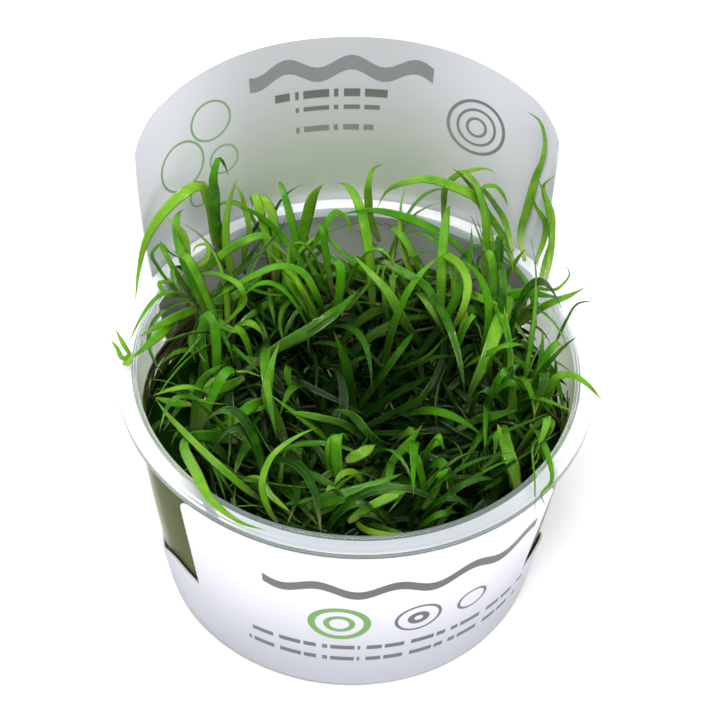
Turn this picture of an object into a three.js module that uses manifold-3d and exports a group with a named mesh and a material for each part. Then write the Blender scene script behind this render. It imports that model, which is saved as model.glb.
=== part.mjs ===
// A clear culture cup packed with narrow-leaved aquarium plantlets, held in a printed card sleeve.
// Millimetres. The origin is the middle of the cup's underside and +Z is up. The card's tall
// header stands on the +Y side, and its front panel faces -Y.
import * as THREE from 'three';
import { mergeVertices } from 'three/addons/utils/BufferGeometryUtils.js';
import Module from 'manifold-3d';

const wasm = await Module();
wasm.setup();

// Cup: a thin moulded tub whose wall bellies out towards a flat flange with a raised lip
const CUP_SIDES = 40;
const BASE_RADIUS = 38.5;
const WALL_FLARE = 5.7;
const WALL_CURVE = 1.5;
const WALL_TOP = 54;
const WALL = 0.8;
const FLOOR_THICKNESS = 1;
const FLANGE_TOP = 55;
const FLANGE_SKIRT = 1.6;
const RIM_RADIUS = 47.5;
const LIP_INNER = 43.3;
const LIP_OUTER = 44;
const LIP_TOP = 55.4;
// Leaves cross the rim above this height
const CROSSING = 56.6;
const WALL_LEVELS = [6, 14, 24, 36, 48];

// Card sleeve: a cone of card, cut low at the sides, with a front panel and a tall header
const CARD_THICKNESS = 0.4;
const CARD_FOOT = 1;
const CARD_RADIUS = 39.5;
const FRONT_SLOPE = 0.143;
const BACK_SLOPE = 0.168;
const SLOPE_CHANGE = { from: 58.5, to: 120 };
const PANEL_HALF_ANGLE = 50.5;
const PANEL_TOP = 52.8;
const PANEL_CORNER = 5;
const STRIP_TOP = 20;
const STRIP_LOW = 5;
const STRIP_FALL = { from: 0.12, to: 0.52 };
const STRIP_RISE = { from: 0.8, to: 1 };
const HEADER_HALF_ANGLE = 56.6;
const SLEEVE_TURN = -1.3;
const HEADER_TOP = 93;
const HEADER_CROWN = 3.7;
const HEADER_CORNER = { inner: 43, outer: 53, drop: 6.3 };

// Nutrient gel: the disc under the roots
const GEL_BOTTOM = 1.3;
const GEL_TOP = 9;

// Leaf mat: the packed mass of runners, roots and lower leaves, hollowed in the middle of its top
const MAT_SIDES = 24;
const MAT_CENTRE = 26;
const MAT_RISE = 10;
const MAT_RISE_RADIUS = 38;
const MAT_BACK_RISE = 0.08;
const MAT_RINGS = [8, 16, 24, 31, 37];
const MAT_WALL_GAP = 0.6;
const MAT_EDGE_HEIGHT = 37;
const MAT_WAIST_HEIGHT = 22;

// Plantlets
const CLEARANCE = 0.3;
const CHOSEN_SPANS = 5;
const GROWN_SPANS = 4;
const KEEL_DEPTH = 0.36;
const CROWN_RADIUS = 1.5;
const CROWN_NECK = 2;
const CROWN_TIP = 2.4;
const ROOT_OFFSET = 0.8;
const FOOT_GAP = 0.6;
const RUNNER_RADIUS = 0.55;
const GROWN_COUNT = 30;
const GROWN_DISC = 35;
const GROWN_LIMIT = 46;
const GOLDEN_ANGLE = 137.508;
const LEAVES_EACH = 3;
const LEAF_TRIES = 50;

// Plantlets that stand out, by crown. Each leaf is [heading, reach, climb, arch, bow, width]
const CHOSEN = [
  {
    crown: [-19, 30, 39.5],
    leaves: [[-154, 26, 20, 27, -7, 2.4], [152, 8, 40, 6, -2, 2.2], [110, 6, 34, 2, 4, 2]],
  },
  { crown: [-5, 32, 38], leaves: [[-171, 20, 34, 7, 3, 2.2], [79, 4, 32, 3, 3, 2.4]] },
  {
    crown: [-30, 23, 50],
    leaves: [[9, 24, 2, 6, -1, 2.2], [158, 8, 16, 6, 4, 1.8], [-128, 24, 9, 9, 0, 1.2]],
  },
  { crown: [8, 33, 39], leaves: [[83, 9, 31, 4, 3, 2.2], [-4, 26, 21, 18, 2, 2.4]] },
  { crown: [21, 28, 39], leaves: [[60, 9, 24, 4, 0, 2]] },
  { crown: [29, 21, 39], leaves: [[62, 15, 49, 8, -4, 2.2], [124, 13, 37, 10, -4, 2.2]] },
  { crown: [34, 15, 42], leaves: [[56, 12, 36, 6, -2, 2]] },
  { crown: [31, 11, 37], leaves: [[5, 17, 23, 10, 0, 2.2], [12, 13, 29, 6, -2, 1.6]] },
  { crown: [33, -3, 38], leaves: [[-43, 19, 19, 12, -2, 2.2]] },
  { crown: [-33, -8, 42], leaves: [[-70, 36, 15, 11, -7, 2.8]] },
  { crown: [-18, -24, 38], leaves: [[148, 26, 10, 5, 5, 2]] },
  { crown: [-28, 4, 38], leaves: [[-137, 17, 19, 8, 4, 1.8]] },
  { crown: [-4, 2, 29], leaves: [[-113, 40, 23, 14, -5, 1.8], [-6, 20, 21, 6, -3, 2.2]] },
  { crown: [-13, 22, 35], leaves: [[-96, 34, 11, 12, -3, 2.4], [-14, 14, 19, 10, -10, 2.4]] },
  { crown: [22, 3, 32], leaves: [[31, 7, 34, 5, -2, 2.8], [88, 16, 32, 6, -6, 2.2]] },
  { crown: [30, -9, 35], leaves: [[86, 14, 22, 2, 0, 2.4]] },
  { crown: [-25, -13, 38], leaves: [[-62, 23, 10, 5, -2, 2.4]] },
];

const radians = THREE.MathUtils.degToRad;
const degrees = THREE.MathUtils.radToDeg;

// A repeatable run of numbers from 0 to 1
function makeRandom(seed) {
  let state = seed >>> 0;
  return () => {
    state = (Math.imul(state, 1664525) + 1013904223) >>> 0;
    return state / 4294967296;
  };
}

// The cup's outer radius at a height: the flare is quick near the base and slow near the top
function cupRadius(height) {
  return BASE_RADIUS + WALL_FLARE * (1 - (1 - Math.min(height, WALL_TOP) / WALL_TOP) ** WALL_CURVE);
}

// The card's outer radius at a height, for an angle in degrees from the middle of its front
function cardRadius(angle, height) {
  const back = THREE.MathUtils.smoothstep(Math.abs(angle), SLOPE_CHANGE.from, SLOPE_CHANGE.to);
  return CARD_RADIUS + THREE.MathUtils.lerp(FRONT_SLOPE, BACK_SLOPE, back) * (height - CARD_FOOT);
}

// The height of the card's upper edge: front panel, then a strip that dips at the side, then header.
// The header's middle is a little off straight behind.
function cardTop(angle) {
  const back = Math.abs(THREE.MathUtils.euclideanModulo(angle - SLEEVE_TURN, 360) - 180);
  const front = 180 - back;
  if (front <= PANEL_HALF_ANGLE) {
    const inset = radians(PANEL_HALF_ANGLE - front) * cardRadius(front, PANEL_TOP);
    const reach = Math.max(PANEL_CORNER - inset, 0);
    return PANEL_TOP - PANEL_CORNER + Math.sqrt(PANEL_CORNER ** 2 - reach ** 2);
  }
  if (back >= HEADER_HALF_ANGLE) {
    const passed = front - PANEL_HALF_ANGLE;
    const along = passed / (passed + back - HEADER_HALF_ANGLE);
    const fall = THREE.MathUtils.smoothstep(along, STRIP_FALL.from, STRIP_FALL.to);
    const rise = THREE.MathUtils.smoothstep(along, STRIP_RISE.from, STRIP_RISE.to);
    return THREE.MathUtils.lerp(STRIP_TOP, STRIP_LOW, fall * (1 - rise));
  }
  const shoulder = HEADER_TOP - HEADER_CROWN;
  if (back <= HEADER_CORNER.inner) return HEADER_TOP - HEADER_CROWN * (back / HEADER_CORNER.inner) ** 3;
  if (back <= HEADER_CORNER.outer) {
    const round = (back - HEADER_CORNER.inner) / (HEADER_CORNER.outer - HEADER_CORNER.inner);
    return shoulder - HEADER_CORNER.drop * (1 - (1 - round ** 1.4) ** 0.75);
  }
  const side = (HEADER_HALF_ANGLE - back) / (HEADER_HALF_ANGLE - HEADER_CORNER.outer);
  return THREE.MathUtils.lerp(STRIP_TOP, shoulder - HEADER_CORNER.drop, side ** 0.25);
}

// The angles from the front at which the card is ruled, close together at its corners
function cardAngles() {
  const side = [];
  for (let angle = 4.5; angle < PANEL_HALF_ANGLE - 9; angle += 4.5) side.push(angle);
  for (const inset of [6.5, 4.5, 3, 1.8, 1, 0.3, 0, -0.3]) side.push(PANEL_HALF_ANGLE - inset);
  for (let angle = 55; angle < 119; angle += 4.5) side.push(angle);
  const back = [-0.1, 0.02, 0.15, 0.6, 1.4, 2.6].map((inset) => HEADER_HALF_ANGLE - inset);
  back.push(53, 52, 50.5, 48.5, 46, 43);
  for (let angle = 39; angle > 0; angle -= 4.5) back.push(angle);
  side.push(...back.map((angle) => 180 - angle));
  const left = side.toReversed().map((angle) => -angle);
  return [0, ...side, 180, ...left].map((angle) => angle + SLEEVE_TURN);
}

// A closed body turned from a profile of [radius, height] points
function turned(profile, sides) {
  const points = profile.map(([radius, height]) => new THREE.Vector2(radius, height));
  return new THREE.LatheGeometry(points, sides).rotateX(Math.PI / 2);
}

function cupGeometry() {
  const outside = WALL_LEVELS.map((height) => [cupRadius(height), height]);
  const inside = WALL_LEVELS.map((height) => [cupRadius(height) - WALL, height]).reverse();
  const under = FLANGE_TOP - 1;
  return turned([
    [0, 0], [36.8, 0], [38.1, 0.5], [cupRadius(1.6), 1.6], ...outside, [cupRadius(under), under],
    [RIM_RADIUS - 0.8, under], [RIM_RADIUS - 0.7, FLANGE_TOP - FLANGE_SKIRT],
    [RIM_RADIUS, FLANGE_TOP - FLANGE_SKIRT], [RIM_RADIUS, FLANGE_TOP - 0.2], [RIM_RADIUS - 0.3, FLANGE_TOP],
    [LIP_OUTER + 0.2, FLANGE_TOP], [LIP_OUTER, LIP_TOP - 0.2], [LIP_OUTER - 0.25, LIP_TOP],
    [LIP_INNER + 0.15, LIP_TOP], [LIP_INNER, LIP_TOP - 0.3], [LIP_INNER, under], ...inside,
    [37.6, 1.9], [36.7, FLOOR_THICKNESS], [0, FLOOR_THICKNESS],
  ], CUP_SIDES);
}

function gelGeometry() {
  const gap = WALL + CLEARANCE + 0.1;
  return turned([
    [0, GEL_BOTTOM], [36.2, GEL_BOTTOM], [cupRadius(3) - gap, 3],
    [cupRadius(GEL_TOP) - gap, GEL_TOP], [0, GEL_TOP],
  ], CUP_SIDES);
}

// The height of the mat's top, a shallow bowl that stands higher at the back
function matHeight(x, y) {
  return MAT_CENTRE + MAT_RISE * (x * x + y * y) / MAT_RISE_RADIUS ** 2 + MAT_BACK_RISE * y;
}

// The mat: a middle point, rings over its top, then down the cup's wall to a flat underside
function matGeometry() {
  const gap = WALL + MAT_WALL_GAP;
  const foot = GEL_TOP + CLEARANCE;
  const rings = MAT_RINGS.map((radius) => [radius, null]);
  for (const height of [MAT_EDGE_HEIGHT, MAT_WAIST_HEIGHT, foot]) {
    rings.push([cupRadius(height) - gap, height]);
  }
  const positions = [0, 0, matHeight(0, 0)];
  for (const [radius, height] of rings) {
    for (let side = 0; side < MAT_SIDES; side += 1) {
      const turn = (2 * Math.PI * side) / MAT_SIDES;
      const x = radius * Math.cos(turn);
      const y = radius * Math.sin(turn);
      positions.push(x, y, height ?? matHeight(x, y));
    }
  }
  positions.push(0, 0, foot);
  const under = positions.length / 3 - 1;
  const index = [];
  for (let side = 0; side < MAT_SIDES; side += 1) {
    const next = (side + 1) % MAT_SIDES;
    index.push(0, 1 + side, 1 + next);
    for (let ring = 0; ring < rings.length - 1; ring += 1) {
      const inner = 1 + ring * MAT_SIDES;
      const outer = inner + MAT_SIDES;
      index.push(inner + side, outer + side, outer + next, inner + side, outer + next, inner + next);
    }
    const edge = under - MAT_SIDES;
    index.push(under, edge + next, edge + side);
  }
  return fromArrays(positions, index);
}

// The card: each angle has four corners, the outside foot and top and the inside top and foot
function cardGeometry() {
  const angles = cardAngles();
  const positions = [];
  for (const angle of angles) {
    const top = cardTop(angle);
    const turn = radians(angle);
    const inside = CARD_THICKNESS;
    for (const [height, inset] of [[CARD_FOOT, 0], [top, 0], [top, inside], [CARD_FOOT, inside]]) {
      const radius = cardRadius(angle, height) - inset;
      positions.push(radius * Math.sin(turn), -radius * Math.cos(turn), height);
    }
  }
  const index = [];
  for (let column = 0; column < angles.length; column += 1) {
    const here = 4 * column;
    const next = 4 * ((column + 1) % angles.length);
    for (let corner = 0; corner < 4; corner += 1) {
      const after = (corner + 1) % 4;
      index.push(here + corner, next + corner, next + after, here + corner, next + after, here + after);
    }
  }
  return fromArrays(positions, index);
}

function fromArrays(positions, index) {
  const geometry = new THREE.BufferGeometry();
  geometry.setAttribute('position', new THREE.Float32BufferAttribute(positions, 3));
  geometry.setIndex(index);
  return geometry;
}

function solidOf(geometry) {
  geometry.deleteAttribute('normal');
  geometry.deleteAttribute('uv');
  const merged = mergeVertices(geometry);
  return new wasm.Manifold(new wasm.Mesh({
    numProp: 3,
    vertProperties: Float32Array.from(merged.attributes.position.array),
    triVerts: Uint32Array.from(merged.index.array),
  }));
}

function geometryOf(solid) {
  const mesh = solid.getMesh();
  return fromArrays(Array.from(mesh.vertProperties), Array.from(mesh.triVerts));
}

// A leaf's midrib is a parabola in space. It reaches along its heading, climbs, arches up and
// bows to the left of its heading.
function midrib(crown, [heading, reach, climb, arch, bow], spans) {
  const along = new THREE.Vector3(Math.cos(radians(heading)), Math.sin(radians(heading)), 0);
  const left = new THREE.Vector3(-along.y, along.x, 0);
  const points = [];
  for (let step = 0; step <= spans; step += 1) {
    const t = step / spans;
    const bulge = 4 * t * (1 - t);
    const out = ROOT_OFFSET + (reach - ROOT_OFFSET) * t;
    const point = crown.clone().addScaledVector(along, out).addScaledVector(left, bow * bulge);
    point.z += climb * t + arch * bulge;
    points.push(point);
  }
  return { points, left };
}

// A blade's half width along its length: a narrow stalk, widest past the middle, then a fine tip
function halfWidth(width, t) {
  return width * 0.5 * (0.3 + 0.7 * Math.sin(Math.PI * Math.min(t / 1.3, 1)) ** 1.2) * (1 - t ** 6);
}

// A closed body through rings of corners, each ring turning right as seen from the root, that
// ends in a point
function lofted(rings, tip) {
  const sides = rings[0].length;
  const corners = rings.flat();
  const index = [];
  for (let side = 1; side < sides - 1; side += 1) index.push(0, side + 1, side);
  for (let ring = 0; ring < rings.length; ring += 1) {
    for (let side = 0; side < sides; side += 1) {
      const here = ring * sides + side;
      const beside = ring * sides + ((side + 1) % sides);
      if (ring === rings.length - 1) index.push(here, beside, corners.length);
      else index.push(here, beside + sides, here + sides, here, beside, beside + sides);
    }
  }
  return fromArrays([...corners, tip].flatMap((corner) => corner.toArray()), index);
}

// A three-sided blade with a flat upper face and a keel below
function leafGeometry(points, left, width) {
  const last = points.length - 1;
  const rings = points.slice(0, last).map((point, ring) => {
    const before = points[Math.max(ring - 1, 0)];
    const tangent = points[ring + 1].clone().sub(before).normalize();
    const across = left.clone().addScaledVector(tangent, -left.dot(tangent)).normalize();
    const above = tangent.clone().cross(across);
    const half = halfWidth(width, ring / last);
    return [[1, 0], [-1, 0], [0, -2 * KEEL_DEPTH]].map(([side, rise]) => (
      point.clone().addScaledVector(across, side * half).addScaledVector(above, rise * half)
    ));
  });
  return lofted(rings, points[last]);
}

// The runner that rises from just above the mat, and the swollen crown on it that the leaves leave
function stemGeometry(foot, crown) {
  const neck = foot.clone().lerp(crown, 1 - Math.min(CROWN_NECK / (crown.z - foot.z), 0.7));
  const levels = [[foot, RUNNER_RADIUS], [neck, RUNNER_RADIUS], [crown, CROWN_RADIUS]];
  const rings = levels.map(([centre, radius]) => [0, 90, 180, 270].map((turn) => new THREE.Vector3(
    centre.x + radius * Math.cos(radians(turn)),
    centre.y + radius * Math.sin(radians(turn)),
    centre.z,
  )));
  return lofted(rings, crown.clone().setZ(crown.z + CROWN_TIP));
}

// Whether a point that is half thick stays clear of the mat, the cup's wall and rim, and the card
function hasRoom(point, half) {
  const margin = half + CLEARANCE + 0.1;
  const radius = Math.hypot(point.x, point.y);
  const angle = degrees(Math.atan2(point.x, -point.y));
  const byHeader = 180 - Math.abs(angle) < HEADER_HALF_ANGLE + 2 && point.z < HEADER_TOP + 2;
  if (byHeader && radius > cardRadius(angle, point.z) - CARD_THICKNESS - margin) return false;
  if (point.z < matHeight(point.x, point.y) + half + FOOT_GAP) return false;
  if (point.z > CROSSING + margin * 0.7) return true;
  const inner = point.z < WALL_TOP ? cupRadius(point.z) - WALL : LIP_INNER;
  if (radius < inner - margin) return true;
  if (point.z > FLANGE_TOP + CLEARANCE + 0.5 && radius > LIP_OUTER + margin) return true;
  return !byHeader && radius > RIM_RADIUS + margin;
}

// The straight stretches of a midrib, each with the half width that it needs
function stretches(points, width) {
  const last = points.length - 1;
  return points.slice(1).map((point, step) => ({
    line: new THREE.Line3(points[step], point),
    half: Math.max(halfWidth(width, step / last), halfWidth(width, (step + 1) / last)),
  }));
}

function fits(parts) {
  return parts.every(({ line, half }) => {
    for (let step = 0; step <= 8; step += 1) {
      if (!hasRoom(line.at(step / 8, new THREE.Vector3()), half)) return false;
    }
    return true;
  });
}

// Whether stretches of one plantlet keep a gap to every stretch of the others
function keepsOff(parts, taken, owner) {
  return parts.every(({ line, half }) => taken.every((other) => {
    const gap = half + other.half + CLEARANCE;
    return other.owner === owner || line.distanceSqToLine3(other.line) >= gap * gap;
  }));
}

// The crowns of the plantlets that fill the cup, in a sunflower pattern over a disc. Each stands
// a little above the mat.
function grownCrown(number) {
  const random = makeRandom(977 * (number + 1));
  const radius = GROWN_DISC * Math.sqrt((number + 0.6) / GROWN_COUNT);
  const turn = radians(GOLDEN_ANGLE * number);
  const x = radius * Math.cos(turn);
  const y = radius * Math.sin(turn);
  return new THREE.Vector3(x, y, matHeight(x, y) + 2.6 + 7 * random());
}

// A leaf of such a plantlet. Tips end near the top of the tangle, which is lowest in the middle
// and highest at the back.
function grownLeaf(crown, random) {
  const heading = 360 * random();
  const reach = 6 + 24 * random();
  const turn = radians(heading);
  const x = crown.x + reach * Math.cos(turn);
  const y = crown.y + reach * Math.sin(turn);
  const canopy = 44 + 13 * (x * x + y * y) / 1600 + 0.12 * y;
  const climb = canopy - crown.z + 14 * (random() - 0.5);
  return [heading, reach, climb, 3 + 11 * random(), 12 * (random() - 0.5), 1.8 + 0.8 * random()];
}

// A plantlet so far: where it stands, its leaves' geometries, and the number of its place
function startPlantlet(crown, owner) {
  const foot = new THREE.Vector3(crown.x, crown.y, matHeight(crown.x, crown.y) + FOOT_GAP);
  return { crown, foot, owner, blades: [], random: makeRandom(7919 * (owner + 3)) };
}

// Adds a leaf where it touches no other piece, and says whether it did
function addLeaf(plantlet, leaf, spans, taken) {
  const { points, left } = midrib(plantlet.crown, leaf, spans);
  const width = leaf[5];
  const parts = stretches(points, width);
  if (!fits(parts) || !keepsOff(parts, taken, plantlet.owner)) return false;
  plantlet.blades.push(leafGeometry(points, left, width));
  taken.push(...parts.map((part) => ({ ...part, owner: plantlet.owner })));
  return true;
}

// How far from the cup's axis a leaf's tip ends
function tipRadius(crown, [heading, reach]) {
  const x = crown.x + reach * Math.cos(radians(heading));
  const y = crown.y + reach * Math.sin(radians(heading));
  return Math.hypot(x, y);
}

// Adds one more grown leaf where one of a few tries finds room
function fillPlantlet(plantlet, taken) {
  for (let attempt = 0; attempt < LEAF_TRIES; attempt += 1) {
    const leaf = grownLeaf(plantlet.crown, plantlet.random);
    if (tipRadius(plantlet.crown, leaf) > GROWN_LIMIT) continue;
    if (addLeaf(plantlet, leaf, GROWN_SPANS, taken)) return;
  }
}

function plantletGeometry({ crown, foot, blades }) {
  return geometryOf(blades.map(solidOf).reduce(
    (whole, blade) => whole.add(blade),
    solidOf(stemGeometry(foot, crown)),
  ));
}

// All plantlets: the chosen ones with their own leaves first, then every crown that finds room,
// each filled up with grown leaves
function growPlantlets() {
  const taken = [];
  const plantlets = [];
  const crowns = CHOSEN.map(({ crown }) => new THREE.Vector3(...crown));
  for (let number = 0; number < GROWN_COUNT; number += 1) crowns.push(grownCrown(number));
  crowns.forEach((crown, owner) => {
    const plantlet = startPlantlet(crown, owner);
    const stem = [{ line: new THREE.Line3(plantlet.foot, crown), half: CROWN_RADIUS, owner }];
    if (!keepsOff(stem, taken, owner)) return;
    taken.push(...stem);
    plantlets.push(plantlet);
    if (owner < CHOSEN.length) {
      for (const leaf of CHOSEN[owner].leaves) addLeaf(plantlet, leaf, CHOSEN_SPANS, taken);
    }
  });
  for (let round = 1; round <= LEAVES_EACH; round += 1) {
    for (const plantlet of plantlets) {
      if (plantlet.blades.length < round) fillPlantlet(plantlet, taken);
    }
  }
  return plantlets.filter(({ blades }) => blades.length > 0).map(plantletGeometry);
}

const plastic = new THREE.MeshStandardMaterial({
  color: 0xdfe6e8, roughness: 0.15, metalness: 0, transparent: true, opacity: 0.35,
});
const card = new THREE.MeshStandardMaterial({ color: 0xe4e4ee, roughness: 0.5, metalness: 0 });
const gel = new THREE.MeshStandardMaterial({
  color: 0xc9c79a, roughness: 0.2, metalness: 0, transparent: true, opacity: 0.7,
});
const mat = new THREE.MeshStandardMaterial({ color: 0x33541a, roughness: 0.7, metalness: 0 });
const greens = [0x5f9e22, 0x3f8a1a, 0x86b52e, 0x2f6e16].map(
  (color) => new THREE.MeshStandardMaterial({ color, roughness: 0.35, metalness: 0 }),
);

const object = new THREE.Group();

function addPiece(name, geometry, material) {
  const piece = new THREE.Mesh(geometry, material);
  piece.name = name;
  object.add(piece);
}

addPiece('cup', cupGeometry(), plastic);
addPiece('card_sleeve', cardGeometry(), card);
addPiece('nutrient_gel', gelGeometry(), gel);
addPiece('leaf_mat', matGeometry(), mat);

growPlantlets().forEach((geometry, number) => {
  addPiece(`plantlet_${String(number + 1).padStart(2, '0')}`, geometry, greens[number % greens.length]);
});

export default object;
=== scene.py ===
"""A clear culture cup of narrow-leaved aquarium plantlets, in a printed card sleeve."""

import math

import bpy
import numpy as np
from mathutils import Matrix, Vector


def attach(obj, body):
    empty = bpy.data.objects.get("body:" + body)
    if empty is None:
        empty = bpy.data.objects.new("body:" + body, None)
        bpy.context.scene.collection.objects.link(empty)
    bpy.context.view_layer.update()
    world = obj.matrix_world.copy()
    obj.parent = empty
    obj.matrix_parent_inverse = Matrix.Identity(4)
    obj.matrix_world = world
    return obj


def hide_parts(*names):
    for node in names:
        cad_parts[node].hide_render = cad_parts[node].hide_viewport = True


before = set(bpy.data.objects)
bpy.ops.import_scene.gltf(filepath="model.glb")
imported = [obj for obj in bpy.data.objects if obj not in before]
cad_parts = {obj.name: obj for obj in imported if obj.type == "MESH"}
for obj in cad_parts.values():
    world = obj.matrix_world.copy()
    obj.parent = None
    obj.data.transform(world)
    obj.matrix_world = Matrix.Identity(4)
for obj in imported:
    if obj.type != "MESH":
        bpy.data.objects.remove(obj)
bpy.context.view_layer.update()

# Shapes are worked out in millimetres and made into metres when a mesh is built
MM = 0.001

# Camera: the photograph's place, aim, roll and lens
CAMERA_AZIMUTH = -8
CAMERA_ELEVATION = 47.47
CAMERA_ROLL = 2.88
CAMERA_DISTANCE = 420
AIM_RIGHT = 0.63
AIM_HEIGHT = 55.87
LENS = 106.22
SENSOR = 36

# Cup
CUP_SIDES = 180
BASE_RADIUS = 38.5
WALL_FLARE = 5.7
WALL_CURVE = 1.5
WALL_TOP = 54
WALL = 0.8
FLANGE_TOP = 55
RIM_RADIUS = 47.5
LIP_INNER = 43.3
LIP_OUTER = 44

# The height from which a leaf may cross the rim, and the room it keeps from what is around it
CROSSING = 56.6
LEAF_GAP = 0.25

# Card sleeve. Angles are in degrees from the middle of the front.
CARD_THICKNESS = 0.4
CARD_FOOT = 1
CARD_RADIUS = 39.5
FRONT_SLOPE = 0.143
BACK_SLOPE = 0.168
SLOPE_FROM = 58.5
SLOPE_TO = 120
PANEL_HALF_ANGLE = 50.5
PANEL_TOP = 52.8
PANEL_CORNER = 5
STRIP_TOP = 20
STRIP_LOW = 5
STRIP_FALL = (0.12, 0.52)
STRIP_RISE = (0.8, 1)
HEADER_HALF_ANGLE = 56.6
SLEEVE_TURN = -1.3
HEADER_TOP = 93
HEADER_CROWN = 3.7
HEADER_CORNER_INNER = 43
HEADER_CORNER_OUTER = 53
HEADER_CORNER_DROP = 6.3
PRINT_RADIUS = 44
HEADER_PRINT_RADIUS = 50

# The height over which the card's UV goes from 0 to 1, and the angle from which an edge is sharp
UV_HEIGHT = 100
SHARP_ANGLE = 40

# Leaf mat
MAT_CENTRE = 26
MAT_RISE = 10
MAT_RISE_RADIUS = 38
MAT_BACK_RISE = 0.08
MAT_FOOT = 9.3

# Leaf tops: a bowl over the middle, hollowed by the dark gap right of it
CANOPY_MIDDLE = 46.5
CANOPY_RISE = 13
CANOPY_RADIUS = 40
HOLLOW_CENTRE = (6, 5)
HOLLOW_REACH = (20, 15)
HOLLOW_DEPTH = 14

# Plantlets
ROOT_OFFSET = 0.8
CROWN_NECK = 2
CROWN_TIP = 2.4
FOOT_GAP = 0.6
FOOT_ACROSS = 0.55
GROWN_COUNT = 30
GROWN_DISC = 35
GOLDEN_ANGLE = 137.508
LEAF_DRAWS = 150
MAIN_STATIONS = 26
FILL_STATIONS = 11
FILL_TRIES = 110
STEM_STATIONS = 9
SEED = 41

# The millimetre cells in which leaves find room: their lowest corner and their numbers
CELLS_LOW = (-56, -56, 0)
CELLS_SIZE = (112, 112, 100)

# Crowns given one by one, each with its leaves: heading, reach, climb, arch, bow, width
CHOSEN = [
    [(-19, 30, 39.5), [(110, 6, 34, 2, 4, 2)]],
    [(-5, 32, 38), []],
    [(-30, 23, 50), [(158, 8, 16, 6, 4, 1.8), (-128, 24, 9, 9, 0, 1.2)]],
    [(8, 33, 39), []],
    [(21, 28, 39), []],
    [(29, 21, 39), [(124, 13, 37, 10, -4, 2.2)]],
    [(34, 15, 42), []],
    [(31, 11, 37), []],
    [(33, -3, 38), []],
    [(-33, -8, 42), []],
    [(-18, -24, 38), []],
    [(-28, 4, 38), [(-137, 17, 19, 8, 4, 1.8)]],
    [(-4, 2, 29), [(-6, 20, 21, 6, -3, 2.2)]],
    [(-13, 22, 35), [(-96, 34, 11, 12, -3, 2.4), (-14, 14, 19, 10, -10, 2.4)]],
    [(22, 3, 32), [(88, 16, 32, 6, -6, 2.2)]],
    [(30, -9, 35), [(86, 14, 22, 2, 0, 2.4)]],
    [(-25, -13, 38), [(-62, 23, 10, 5, -2, 2.4)]],
]

# Plantlets whose leaves are painted darker than the rest, as painted shade in the hollow
DIM = ("plantlet_11", "plantlet_17", "plantlet_25")

# The side that the feature leaves turn their faces to
FACING = (-0.1, -0.66, 0.74)
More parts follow.
